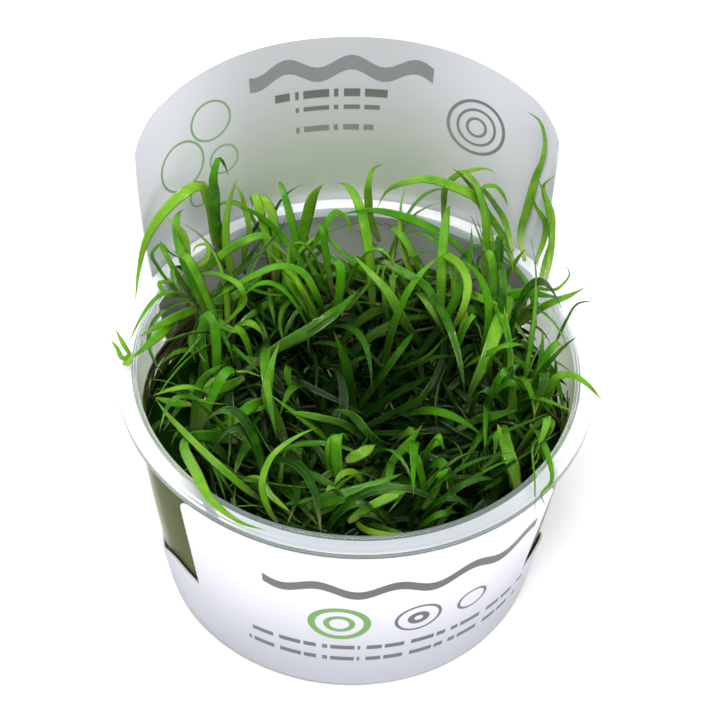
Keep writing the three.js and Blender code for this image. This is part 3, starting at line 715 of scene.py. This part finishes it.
def runner_and_crown(plantlet, random):
    """The runner that winds from the mat to the crown, and the swollen crown."""
    x, y, z = plantlet["crown"]
    foot = mat_height(x, y) + FOOT_GAP - 1.5
    t = np.linspace(0, 1, STEM_STATIONS)
    runner = np.stack([
        x + 0.5 * np.sin(t * 5 + x), y + 0.5 * np.sin(t * 4 + y), foot + (z - foot) * t,
    ], -1)[None]
    across = np.array([[1.0, 0, 0]])
    pale = np.array([[0.9, 0, random.uniform(), 1]])
    none = np.zeros((1, STEM_STATIONS))
    swell = np.array([[0.5, 0.8, 1.15, 1.35, 1.3, 1.05, 0.75, 0.45, 0.05]])
    rise = np.linspace(-CROWN_NECK, CROWN_TIP, STEM_STATIONS)
    crown = np.stack([0 * t + x, 0 * t + y, z + rise], -1)[None]
    return [
        loft(runner, across, none + 0.5, none, ROUND_SECTION, pale),
        loft(crown, across, swell, none, ROUND_SECTION, pale),
    ]


def crown_roots(plantlet, random):
    """A few fine roots that fall from the crown on to the mat, kept inside the cup's wall."""
    roots = 4
    heading = random.uniform(0, 360, roots)
    starts = np.repeat(plantlet["crown"][None] - (0, 0, 1), roots, 0)
    paths, left = curling_paths(
        starts, heading, random.normal(0, 80, roots), random.uniform(-50, 10, roots),
        random.uniform(-80, -20, roots), np.ones(roots), random.uniform(5, 11, roots), STEM_STATIONS)
    low = mat_height(paths[..., 0], paths[..., 1]) + 0.2
    paths[..., 2] = np.maximum(paths[..., 2], low)
    radius = np.linalg.norm(paths[..., :2], axis=2)
    limit = cup_radius(paths[..., 2]) - WALL - 0.8
    paths[..., :2] *= np.minimum(1, limit / np.maximum(radius, 1e-3))[..., None]
    thin = np.linspace(0.22, 0.1, STEM_STATIONS) * np.ones((roots, 1))
    growth = np.repeat(np.array([[1.0, 0, 0.5, 0.0]]), roots, 0)
    return loft(paths, left, thin, 0 * thin, ROUND_SECTION, growth)


def crown_painted_light_and_shade(plantlet):
    """How much darker a plantlet's leaves are painted: painted shade for the dim plantlets and towards the
    front, and painted light that makes them lighter towards the back and the back left.
    """
    if plantlet["node"] in DIM:
        return 0.34
    x, y = plantlet["crown"][:2]
    return np.interp(y, [-10, 26], [0.14, -0.2]) - np.interp(y - x, [25, 45], [0, 0.15])


def add_plantlets(leaf_finish, dim_finish):
    """Each plantlet with its main, feature and fill leaves. The dim finish is for the hollow."""
    random = np.random.default_rng(SEED)
    plantlets = find_plantlets()
    mains = [main_leaves(plantlet, number) for number, plantlet in enumerate(plantlets)]
    shown = feature_leaves(plantlets, random)
    filled = np.full(CELLS_SIZE, -1, np.int16)
    for leaves in [*mains, shown]:
        fill_cells(filled, leaves)
    fill = fill_leaves(plantlets, filled, random)
    t = np.linspace(0, 1, MAIN_STATIONS)
    for number, (plantlet, main) in enumerate(zip(plantlets, mains)):
        count = len(main["paths"])
        twist = random.normal(0, 22, count)[:, None] * t
        main["twist"] = twist + random.normal(0, 8, count)[:, None]
        # The crown's place paints light and shade into these leaves' tone
        main["growth"] = growth_values(count, random, crown_painted_light_and_shade(plantlet))
        parts = own_loft(main, number, BLADE_SECTION, 0.34)
        parts += own_loft(shown, number, BLADE_SECTION, 0.34)
        parts += own_loft(fill, number, FILL_SECTION, 0.3)
        parts += runner_and_crown(plantlet, random)
        parts.append(crown_roots(plantlet, random))
        points, faces, uv, growth = joined(parts)
        name = plantlet["node"].replace("plantlet", "tuft")
        x, y = plantlet["crown"][:2]
        finish = dim_finish if hollow(x, y) > 0.4 else leaf_finish
        piece = make_piece(name, points, faces, uv, growth, [finish])
        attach(piece, "root")
        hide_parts(plantlet["node"])


# Leaf bed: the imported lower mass
def bed_core(random):
    """A turned body inside the mat's solid: its top follows the mat, its side the cup's wall, and
    sums of sine waves hollow its surface."""
    sides = 120
    top, side, floor = slice(34), slice(34, 60), slice(60, 66)
    turn = np.linspace(0, 2 * np.pi, sides, endpoint=False)
    down = np.linspace(35.5, MAT_FOOT + 0.6, 26)
    radius = np.concatenate([
        np.linspace(0.4, 36.6, 34), cup_radius(down) - 1.1, np.linspace(35, 0.4, 6),
    ])
    x = radius[:, None] * np.cos(turn)
    y = radius[:, None] * np.sin(turn)
    z = np.empty(x.shape)
    z[top] = mat_height(x[top], y[top]) - 0.9
    z[side] = down[:, None]
    z[floor] = MAT_FOOT + 0.3
    waves = np.zeros(x.shape)
    for step in range(14):
        direction = random.normal(0, 1, 3)
        waves += np.sin((x * direction[0] + y * direction[1] + z * direction[2]) * 0.55 + step)
    dent = 0.21 * np.abs(waves)
    z[top] -= dent[top]
    shrink = 1 - dent[side] * 0.5 / radius[side, None]
    x[side] *= shrink
    y[side] *= shrink
    leafy = np.interp(z, [22, 33], [0.36, 0.8])
    leafy[top] = 0.8
    points = np.stack([x, y, z], -1).reshape(-1, 3)
    quads, caps = ring_faces(len(radius), sides)
    return {
        "points": points, "quads": quads[:, ::-1], "caps": caps[:, ::-1],
        "uv": np.full((len(points), 2), 0.5),
        # Tone 0, the darkest green, paints the shade in the depth under the leaves
        "growth": np.stack([0 * x, 0 * x + 1, 0 * x + 0.35, leafy], -1).reshape(-1, 4),
    }


def over_mat(random, count, disc, rise, sway, pitch_from, pitch_to, bend, length):
    """Midribs that start anywhere on the mat, a little above it, with the room that the cup's
    wall leaves them. The pairs are lowest and highest values."""
    radius = disc * np.sqrt(random.uniform(0, 1, count))
    place = random.uniform(0, 2 * np.pi, count)
    x, y = radius * np.cos(place), radius * np.sin(place)
    starts = np.stack([x, y, mat_height(x, y) + random.uniform(*rise, count)], 1)
    paths, left = curling_paths(
        starts, random.uniform(0, 360, count), random.normal(0, sway, count),
        random.uniform(*pitch_from, count), random.uniform(*pitch_to, count),
        random.uniform(*bend, count) if bend else np.ones(count),
        random.uniform(*length, count), FILL_STATIONS)
    above = paths[..., 2] - mat_height(paths[..., 0], paths[..., 1])
    room = cup_radius(paths[..., 2]) - WALL - np.linalg.norm(paths[..., :2], axis=2)
    return paths, left, above, room


def bed_leaves(random):
    """Blades that lie over the bed's top, low and crossing each other."""
    count = 900
    kept = 420
    paths, left, above, room = over_mat(
        random, count, 35.5, (0.2, 2.2), 60, (0, 65), (-45, 30), (0.8, 1.8), (9, 22))
    half = blade_half(random.uniform(1.3, 2.2, count), FILL_STATIONS)
    good = np.all((room > half + 0.3) & (above > -0.8) & (above < 9), 1)
    paths, left, half = paths[good][:kept], left[good][:kept], half[good][:kept]
    twist = random.normal(0, 35, len(paths))[:, None] * np.linspace(0, 1, FILL_STATIONS)
    growth = growth_values(len(paths), random, dark=0.22)
    return loft(paths, left, half, np.minimum(0.28, half * 0.5), FILL_SECTION, growth, twist)


def wall_leaves(random):
    """Blades pressed against the cup's wall, rising along it, lower towards the back."""
    count = 560
    start = random.uniform(0, 360, count)
    lean = random.normal(0, 22, count)
    low = random.uniform(10, 42, count)
    high = np.minimum(low + random.uniform(12, 26, count), random.uniform(46, 53.4, count))
    high -= 12 * smoothstep(np.sin(np.radians(start + lean)), -0.35, 0.3)
    t = places(FILL_STATIONS)
    z = low[:, None] + (high - low)[:, None] * t
    turn = np.radians(start[:, None] + lean[:, None] * t + 4 * np.sin(3 * t + start[:, None]))
    radius = cup_radius(z) - WALL - random.uniform(0.1, 0.7, count)[:, None]
    paths = np.stack([radius * np.cos(turn), radius * np.sin(turn), z], -1)
    left = np.stack([-np.sin(turn), np.cos(turn), 0 * turn], -1)
    half = blade_half(random.uniform(1.8, 2.7, count), FILL_STATIONS)
    growth = growth_values(count, random, dark=0.15)
    for column, (least, most) in enumerate([(0.3, 1), (0.2, 0.8), (0.5, 0.7)], 1):
        growth[:, column] = random.uniform(least, most, count)
    return loft(paths, left, half, np.full(half.shape, 0.2), FILL_SECTION, growth)


def bed_roots(random):
    """Fine roots and runners that wander over the bed."""
    kept = 130
    paths, left, above, room = over_mat(
        random, 260, 35, (0.3, 3), 110, (-10, 35), (-35, 20), None, (8, 20))
    good = np.all((room > 0.6) & (above > -0.6), 1)
    paths, left = paths[good][:kept], left[good][:kept]
    radius = random.uniform(0.16, 0.4, len(paths))[:, None] * np.linspace(1, 0.5, FILL_STATIONS)
    growth = growth_values(len(paths), random)
    growth[:, 3] = random.choice([0.0, 0.5], len(paths))
    return loft(paths, left, radius, 0 * radius, ROUND_SECTION, growth)


def add_leaf_bed(leaf_finish):
    random = np.random.default_rng(SEED + 1)
    parts = [bed_core(random), bed_leaves(random), wall_leaves(random), bed_roots(random)]
    points, faces, uv, growth = joined(parts)
    piece = make_piece("leaf_bed", points, faces, uv, growth, [leaf_finish])
    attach(piece, "root")
    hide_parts("leaf_mat")


# Cup
def cup_profile():
    """The cup's outline as radius and height, from the middle of its underside to its floor."""
    levels = np.linspace(2.4, 53.4, 30)
    outside = np.stack([cup_radius(levels), levels], 1)
    inside = np.stack([cup_radius(levels) - WALL, levels], 1)[::-1]
    foot = [
        (0.3, 0.35), (20, 0.35), (34.6, 0.35), (35.6, 0), (36.8, 0), (37.5, 0.15), (38.1, 0.5),
        (38.4, 1.0), (cup_radius(1.6), 1.6),
    ]
    flange = [
        (45.2, 53.8), (46.4, 53.8), (46.75, 53.75), (46.85, 53.55), (47.0, 53.42), (47.35, 53.42),
        (47.48, 53.55), (47.5, 53.8), (47.5, 54.6), (47.4, 54.85), (47.1, 54.98), (46.7, 55.0),
        (46.5, 54.92), (46.35, 54.92), (46.2, 55.0), (45.6, 55.0), (45.2, 54.98), (44.6, 54.98),
    ]
    lip = [
        (44.4, 55.02), (44.28, 55.2), (44.2, 55.36), (44.1, 55.4), (44.0, 55.36), (43.92, 55.2),
        (43.84, 55.12), (43.74, 55.12), (43.66, 55.2), (43.58, 55.34), (43.48, 55.36),
        (43.38, 55.28), (43.3, 55.0), (43.3, 54.4),
    ]
    floor = [(37.9, 2.2), (37.4, 1.5), (36.7, 1.1), (35, 1.0), (20, 1.0), (0.3, 1.0)]
    return np.concatenate([foot, outside, flange, lip, inside, floor])


def add_cup(finishes):
    """The profile turned about the cup's axis: side wall, back wall, flange and its two edges."""
    side_wall, back_wall, flange, edges = range(4)
    profile = cup_profile()
    turn = np.linspace(0, 2 * np.pi, CUP_SIDES, endpoint=False)
    points = np.stack([
        profile[:, :1] * np.cos(turn), profile[:, :1] * np.sin(turn),
        np.repeat(profile[:, 1:], CUP_SIDES, 1),
    ], -1).reshape(-1, 3)
    faces, caps = ring_faces(len(profile), CUP_SIDES)
    x, y, height = points[faces].mean(1).T
    radius = np.hypot(points[:, 0], points[:, 1])[faces].mean(1)
    around = np.abs(np.degrees(np.arctan2(x, -y)))
    rim = np.where((radius < 44.5) | (radius > 47.3), edges, flange)
    finish = np.where(height > 53.5, rim, np.where(around > 118, back_wall, side_wall))
    finish = np.concatenate([finish, [side_wall, side_wall]])
    piece = make_piece("clear_cup", points, [faces, caps], None, None, finishes, finish)
    piece.data.set_sharp_from_angle(angle=math.radians(SHARP_ANGLE))
    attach(piece, "root")
    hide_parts("cup")


# Card sleeve
def card_angles():
    """Angles from the front at which the card is ruled, close together at its corners."""
    even = np.arange(1.2, 179.9, 1.2)
    panel = PANEL_HALF_ANGLE + np.concatenate([-np.linspace(0.02, 8.5, 18), [0, 0.02]])
    edge = HEADER_HALF_ANGLE - np.array([-0.02, 0, 0.02, 0.06, 0.12, 0.2, 0.4, 0.7, 1.1, 1.7, 2.6])
    corner = np.linspace(HEADER_CORNER_INNER, HEADER_CORNER_OUTER, 16)
    back = np.concatenate([edge, corner])
    side = np.unique(np.round(np.concatenate([even, panel, 180 - back]), 3))
    return np.concatenate([[0], side, [180], -side[::-1]]) + SLEEVE_TURN


def add_card(finishes):
    """Columns at each angle, each a loop up the outside, over the top edge, and down the inside."""
    outside, inside, plain = range(3)
    steps = 15
    angle = card_angles()
    share = np.linspace(0, 1, steps)
    share = np.concatenate([share, share[::-1]])[:, None]
    inset = np.repeat([0, CARD_THICKNESS], steps)[:, None]
    height = CARD_FOOT + (card_top(angle) - CARD_FOOT) * share
    radius = card_radius(angle, height) - inset
    turn = np.radians(angle)
    x, y = radius * np.sin(turn), -radius * np.cos(turn)
    points = np.stack([x, y, height], -1)
    rows, columns = height.shape
    closed = np.concatenate([np.arange(rows), [0]])
    index = np.arange(rows * columns).reshape(rows, columns)[closed]
    beside = np.roll(index, -1, 1)
    faces = np.stack([index[:-1], beside[:-1], beside[1:], index[1:]], -1)
    middle = np.abs(np.where(np.abs(angle) < 179, angle, 180))
    finish = np.full((rows, columns), plain)
    finish[:steps - 1] = np.where(middle < 100, outside, plain)
    finish[steps:-1] = np.where(middle > 100, inside, plain)
    around = np.where(inset > 0, np.arctan2(x, y), turn)
    uv = np.stack([around / (2 * np.pi) + 0.5, height / UV_HEIGHT], -1)
    piece = make_piece("printed_card", points.reshape(-1, 3), [faces.reshape(-1, 4)],
                       uv.reshape(-1, 2), None, finishes, finish.reshape(-1))
    piece.data.set_sharp_from_angle(angle=math.radians(SHARP_ANGLE))
    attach(piece, "root")
    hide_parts("card_sleeve")


# Finishes
class Finish:
    """A material's nodes, built from small sums and masks."""

    def __init__(self, name):
        self.material = bpy.data.materials.new(name)
        self.material.use_nodes = True
        self.nodes = self.material.node_tree.nodes
        self.links = self.material.node_tree.links
        self.shader = self.nodes["Principled BSDF"]

    def add(self, kind, **settings):
        node = self.nodes.new(kind)
        for setting, value in settings.items():
            setattr(node, setting, value)
        return node

    def put(self, socket, value):
        if isinstance(value, bpy.types.NodeSocket):
            self.links.new(value, socket)
        else:
            socket.default_value = value

    def work(self, operation, first, second=0.0):
        node = self.add("ShaderNodeMath", operation=operation)
        for socket, value in zip(node.inputs, (first, second)):
            self.put(socket, value)
        return node.outputs[0]

    def times(self, first, second):
        return self.work("MULTIPLY", first, second)

    def plus(self, first, second):
        return self.work("ADD", first, second)

    def minus(self, first, second):
        return self.work("SUBTRACT", first, second)

    def ramp(self, value, low, high, to_low=0.0, to_high=1.0):
        """The value carried smoothly from low..high to to_low..to_high."""
        node = self.add("ShaderNodeMapRange", interpolation_type="SMOOTHSTEP")
        for socket, number in zip(node.inputs, (value, low, high, to_low, to_high)):
            self.put(socket, number)
        return node.outputs[0]

    def band(self, value, low, high, soft):
        """1 between low and high and 0 outside, with soft edges."""
        rise = self.ramp(value, low - soft, low + soft)
        fall = self.ramp(value, high - soft, high + soft, 1.0, 0.0)
        return self.times(rise, fall)

    def blend(self, share, first, second):
        node = self.add("ShaderNodeMix", data_type="RGBA")
        self.put(node.inputs[0], share)
        self.put(node.inputs[6], first)
        self.put(node.inputs[7], second)
        return node.outputs[2]

    def noise(self, scale, detail):
        node = self.add("ShaderNodeTexNoise")
        node.inputs["Scale"].default_value = scale
        node.inputs["Detail"].default_value = detail
        self.links.new(self.object_place(), node.inputs["Vector"])
        return node.outputs["Fac"]

    def object_place(self):
        return self.add("ShaderNodeTexCoord").outputs["Object"]

    def parts(self, vector):
        """A vector's x, y and z."""
        split = self.add("ShaderNodeSeparateXYZ")
        self.links.new(vector, split.inputs[0])
        return split.outputs

    def surface_place(self):
        """The piece's own UV map, as two numbers."""
        return self.parts(self.add("ShaderNodeUVMap", uv_map="surface").outputs[0])[:2]

    def bump(self, height, strength, distance):
        node = self.add("ShaderNodeBump")
        node.inputs["Strength"].default_value = strength
        node.inputs["Distance"].default_value = distance
        self.links.new(height, node.inputs["Height"])
        self.links.new(node.outputs[0], self.shader.inputs["Normal"])

    def set(self, **values):
        for name, value in values.items():
            self.put(self.shader.inputs[name.replace("_", " ")], value)


def colour(red, green, blue):
    return (red, green, blue, 1.0)


# Blade and root colours
DARK_GREEN = colour(0.005, 0.05, 0.0005)
MID_GREEN = colour(0.058, 0.265, 0.004)
BRIGHT_GREEN = colour(0.19, 0.41, 0.022)
STALK_GREEN = colour(0.36, 0.42, 0.13)
# Pale colour of the rib and edges: the blade's own paleness, and at the edges also a painted highlight
PALE_RIB_EDGE_AND_HIGHLIGHT = colour(0.2, 0.38, 0.06)
OLD_TIP = colour(0.36, 0.34, 0.09)
# Painted shade for blades deep in the tangle and in the hollow
DEEP_SHADE = colour(0.004, 0.018, 0.001)
ROOT_PALE = colour(0.4, 0.4, 0.17)
ROOT_BROWN = colour(0.1, 0.07, 0.02)


def painted_shade_height(finish):
    """The height on the piece, lowered in and around the hollow, so that the painted shade darkens
    the blades more there.
    """
    place = finish.parts(finish.object_place())
    squares = []
    for axis in range(2):
        aside = finish.minus(place[axis], HOLLOW_CENTRE[axis] * MM)
        share = finish.work("DIVIDE", aside, HOLLOW_REACH[axis] * MM)
        squares.append(finish.times(share, share))
    return finish.minus(place[2], finish.ramp(finish.plus(*squares), 0.2, 2.2, 0.009, 0.0))


def blade_green(finish, tone, age, mottle, across, along):
    """Green by the leaf's own tone, pale at the stalk and rib, paler at the edges partly by their own
    colour and partly as a painted highlight, yellow at an old tip.
    """
    shade = finish.plus(tone, finish.ramp(mottle, 0.3, 0.7, -0.13, 0.13))
    green = finish.blend(finish.ramp(shade, 0.0, 0.5), DARK_GREEN, MID_GREEN)
    green = finish.blend(finish.ramp(shade, 0.45, 1.0), green, BRIGHT_GREEN)
    green = finish.blend(finish.ramp(along, 0.0, 0.24, 0.75, 0.0), green, STALK_GREEN)
    rib = finish.times(finish.band(across, 0.44, 0.56, 0.05), 0.1)
    aside = finish.work("ABSOLUTE", finish.minus(across, 0.5))
    # The edges: partly the blade's own pale margin, partly a painted highlight
    edge = finish.ramp(aside, 0.36, 0.5, 0.0, 0.3)
    green = finish.blend(finish.plus(rib, edge), green, PALE_RIB_EDGE_AND_HIGHLIGHT)
    tip = finish.times(finish.ramp(along, 0.8, 1.0), finish.ramp(age, 0.35, 0.8))
    return finish.blend(tip, green, OLD_TIP)


def leaf_finish(name, bend):
    """Glossy blades with fine veins, duller deep in the tangle and darkened there by painted shade, and
    pale or brown roots. The growth attribute holds tone, age, the root's own number, and 0 root to 1 leaf."""
    finish = Finish(name)
    across, along = finish.surface_place()
    growth = finish.add("ShaderNodeAttribute", attribute_name="growth")
    split = finish.add("ShaderNodeSeparateColor")
    finish.links.new(growth.outputs["Color"], split.inputs[0])
    tone, age, own = split.outputs
    mottle = finish.noise(260, 3)
    height = painted_shade_height(finish)
    green = blade_green(finish, tone, age, mottle, across, along)
    # Painted shade: blades turn to DEEP_SHADE lower down, and from higher up around the hollow
    green = finish.blend(finish.ramp(height, 0.038, 0.057, 0.05, 1.0), DEEP_SHADE, green)
    root = finish.blend(own, ROOT_PALE, ROOT_BROWN)
    veins = finish.work("SINE", finish.times(across, 44.0))
    relief = finish.plus(finish.times(veins, 0.5), finish.noise(900, 2))
    relief = finish.plus(relief, finish.times(finish.noise(2300, 2), 0.7))
    finish.bump(relief, 0.7, 0.0002)
    dull = finish.ramp(height, 0.034, 0.052, 0.25, 0.0)
    finish.set(
        Base_Color=finish.blend(finish.ramp(growth.outputs["Alpha"], 0.2, 0.8), root, green),
        Roughness=finish.plus(finish.ramp(mottle, 0.3, 0.7, 0.07, 0.19), dull),
        Subsurface_Weight=0.3, Subsurface_Radius=(0.8, 1.0, 0.12), Subsurface_Scale=0.0005,
        IOR=bend, Specular_Tint=colour(0.87, 1.0, 0.68),
    )
    return finish.material


def plastic_finishes():
    """Moulded plastic with a faint haze in its gloss: olive at the sides of the wall as painted shade,
    clear behind, milky in the flange, half clear in its two edges. Each goes from a darker front colour
    to a lighter back one, between two depths, as painted shade in front and painted light behind."""
    finishes = []
    for name, clear, smooth, bend, turns, front, back in [
        ("cup_wall", 0.7, 0.02, 1.02, (-0.012, 0.014), (0.3, 0.34, 0.16), (0.62, 0.66, 0.58)),
        ("cup_wall_back", 0.98, 0.02, 1.02, (0.0, 0.04), (0.6, 0.62, 0.55), (0.84, 0.87, 0.78)),
        ("cup_flange", 0.32, 0.12, 1.4, (-0.046, -0.01), (0.5, 0.53, 0.56), (0.93, 0.95, 0.97)),
        ("cup_lip", 0.8, 0.06, 1.3, (-0.046, 0.03), (0.55, 0.63, 0.62), (0.75, 0.8, 0.8)),
    ]:
        finish = Finish(name)
        # Painted shade towards the front and painted light behind
        painted_shade_to_light = finish.ramp(finish.parts(finish.object_place())[1], *turns)
        finish.set(
            Base_Color=finish.blend(painted_shade_to_light, colour(*front), colour(*back)),
            Roughness=finish.ramp(finish.noise(90, 4), 0.35, 0.75, smooth, smooth + 0.06),
            Transmission_Weight=clear, IOR=bend,
        )
        finishes.append(finish.material)
    return finishes


def gel_finish():
    """Nutrient gel: wet, cloudy, straw-coloured."""
    finish = Finish("nutrient_gel")
    cloud = finish.noise(120, 4)
    straw = finish.blend(
        finish.ramp(cloud, 0.3, 0.7), colour(0.4, 0.43, 0.19), colour(0.52, 0.54, 0.3))
    finish.set(
        Base_Color=straw, Roughness=finish.ramp(cloud, 0.3, 0.7, 0.08, 0.22),
        Transmission_Weight=0.2, IOR=1.34,
    )
    return finish.material


# Print colours
INK_GREY = colour(0.06, 0.062, 0.07)
INK_GREEN = colour(0.085, 0.26, 0.03)
RIBBON_GREY = colour(0.17, 0.17, 0.19)


def card_paper(name):
    """Satin card with a fine tooth and a faint unevenness of colour."""
    finish = Finish(name)
    cloud = finish.noise(30, 2)
    finish.bump(finish.noise(1400, 3), 0.12, 0.00008)
    finish.set(Roughness=finish.ramp(cloud, 0.3, 0.7, 0.36, 0.46))
    paper = finish.blend(
        finish.ramp(cloud, 0.3, 0.7), colour(0.68, 0.68, 0.745), colour(0.72, 0.72, 0.775))
    return finish, paper


def card_places(finish, radius):
    """Millimetres on the card: along it from its middle, and up."""
    u, v = finish.surface_place()
    return finish.times(finish.minus(u, 0.5), 2 * math.pi * radius), finish.times(v, UV_HEIGHT)


def ribbon(finish, x, z, turn, swing, low, high, start, end):
    """A sine wave's band between two heights and two ends."""
    wave = finish.times(finish.work("SINE", finish.times(x, turn)), swing)
    level = finish.band(finish.minus(z, wave), low, high, 0.12)
    return finish.times(level, finish.band(x, start, end, 0.1))


def dashes(finish, x, z, line, height, low, high, pitches):
    """A row of bars along x, cut by gaps at two pitches."""
    mask = finish.band(z, line - height / 2, line + height / 2, 0.12)
    mask = finish.times(mask, finish.band(x, low, high, 0.1))
    for pitch, gap in pitches:
        share = finish.work("FRACT", finish.work("DIVIDE", finish.plus(x, 300.0), pitch))
        mask = finish.times(mask, finish.ramp(share, gap, gap + 0.02))
    return mask


def ring(finish, x, z, centre, radius, width):
    """A circle's line around a centre."""
    squares = []
    for place, middle in zip((x, z), centre):
        aside = finish.work("ABSOLUTE", finish.minus(place, middle))
        squares.append(finish.work("POWER", aside, 2.0))
    far = finish.work("SQRT", finish.plus(*squares))
    return finish.band(far, radius - width / 2, radius + width / 2, 0.12)


def card_front():
    """The outside: a ribbon, rings and two rows of bars, and painted shade that greys it towards the foot.
    """
    finish, paper = card_paper("card_front")
    x, z = card_places(finish, PRINT_RADIUS)
    # Painted shade: greyer towards the foot
    paper = finish.blend(finish.ramp(z, 4.0, 44.0, 0.95, 0.0), paper, colour(0.36, 0.37, 0.43))
    paper = finish.blend(ribbon(finish, x, z, 0.42, 1.5, 38.6, 41.6, -22, 35), paper, INK_GREY)
    for centre, radius, width, ink in [
        ((-7, 27), 5.6, 1.5, INK_GREEN), ((-7, 27), 2.6, 1.2, INK_GREEN),
        ((9, 27), 4.6, 0.7, INK_GREY), ((21, 27), 3.2, 0.7, INK_GREY), ((9, 27), 1.6, 1.4, INK_GREY),
    ]:
        paper = finish.blend(ring(finish, x, z, centre, radius, width), paper, ink)
    for line, low, high in [(17.2, -26, 39), (12.4, -27, 38)]:
        bars = dashes(finish, x, z, line, 1.6, low, high, [(9.3, 0.13), (5.7, 0.1)])
        paper = finish.blend(bars, paper, INK_GREY)
    finish.set(Base_Color=paper)
    return finish.material


def card_header():
    """The header's inside: painted shade that greys it in the middle and greys and greens it low down
    where the leaves shade it, a ribbon, rows of bars, and rings at both sides."""
    finish, paper = card_paper("card_header")
    x, z = card_places(finish, HEADER_PRINT_RADIUS)
    # Painted shade: greyer in the middle of the header, less towards its sides
    rising = finish.ramp(x, -42.0, -12.0, 0.0, 0.9)
    header_painted_shade = finish.times(rising, finish.ramp(x, 8.0, 36.0, 1.0, 0.45))
    header_painted_shade = finish.times(finish.ramp(z, 53.0, 58.0), header_painted_shade)
    paper = finish.blend(header_painted_shade, paper, colour(0.39, 0.4, 0.42))
    paper = finish.blend(ribbon(finish, x, z, 0.5, 1.3, 84.2, 87.6, -17, 19), paper, RIBBON_GREY)
    for line, low, high, thick in [(80.2, -12, 12, 1.9), (76.8, -9, 9, 1.1), (72.0, -8, 8, 1.4)]:
        bars = dashes(finish, x, z, line, thick, low, high, [(6.1, 0.14), (9.7, 0.1)])
        paper = finish.blend(bars, paper, INK_GREY)
    for centre, radius, width, ink in [
        ((29, 77), 6.0, 0.7, INK_GREY), ((29, 77), 4.0, 0.6, INK_GREY),
        ((29, 77), 2.0, 0.6, INK_GREY), ((-26, 80), 4.4, 0.5, INK_GREEN),
        ((-34, 73), 5.4, 0.5, INK_GREEN), ((-24, 70), 3.2, 0.5, INK_GREEN),
        ((-31, 64), 2.2, 0.4, INK_GREEN),
    ]:
        share = finish.times(ring(finish, x, z, centre, radius, width), 0.85)
        paper = finish.blend(share, paper, ink)
    # Painted shade of the leaves: greyer and greener low down, most in the middle
    aside = finish.ramp(finish.work("ABSOLUTE", x), 14.0, 40.0, 0.75, 0.2)
    painted_leaf_shade = finish.times(finish.ramp(z, 58.0, 88.0, 1.0, 0.1), aside)
    painted_leaf_shade = finish.times(finish.ramp(z, 53.0, 58.0), painted_leaf_shade)
    finish.set(Base_Color=finish.blend(painted_leaf_shade, paper, colour(0.3, 0.36, 0.24)))
    return finish.material


def card_plain():
    finish, paper = card_paper("card_plain")
    finish.set(Base_Color=paper)
    return finish.material


# Floor and light
def add_stage():
    finish = Finish("floor_white")
    white = finish.blend(finish.noise(6, 2), colour(0.94, 0.94, 0.94), colour(0.97, 0.97, 0.97))
    finish.set(Base_Color=white, Roughness=0.6)
    side = 1500
    points = np.array([(-side, -side, 0), (side, -side, 0), (side, side, 0), (-side, side, 0)])
    floor = make_piece("floor", points, [np.array([[0, 1, 2, 3]])], materials=[finish.material])


def add_light(name, place, size, power):
    """A square soft light that faces the cup."""
    data = bpy.data.lights.new(name, "AREA")
    data.size = size
    data.energy = power
    light = bpy.data.objects.new(name, data)
    bpy.context.scene.collection.objects.link(light)
    back = Vector(place) - Vector((0, 0, 0.05))
    turn = back.to_track_quat("Z", "Y").to_matrix().to_4x4()
    light.matrix_world = Matrix.Translation(place) @ turn


def add_lights():
    add_light("softbox", (-0.02, -0.34, 0.95), 0.6, 12.2)
    add_light("glint", (-0.24, 0.22, 0.82), 0.07, 2.8)
    add_light("fill left", (-0.6, -0.8, 0.5), 0.6, 1.9)
    add_light("fill right", (0.7, -0.7, 0.5), 0.6, 2.7)
    world = bpy.data.worlds.new("studio")
    world.use_nodes = True
    background = world.node_tree.nodes["Background"]
    background.inputs["Color"].default_value = colour(1, 1, 1)
    background.inputs["Strength"].default_value = 0.28
    bpy.context.scene.world = world
    bpy.context.scene.view_settings.view_transform = "Standard"


add_camera()
add_cup(plastic_finishes())
add_card([card_front(), card_header(), card_plain()])
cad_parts["nutrient_gel"].data.materials.clear()
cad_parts["nutrient_gel"].data.materials.append(gel_finish())
add_leaf_bed(leaf_finish("leaf_green_low", 1.02))
add_plantlets(leaf_finish("leaf_green", 1.5), leaf_finish("leaf_green_dim", 1.2))
add_stage()
add_lights()
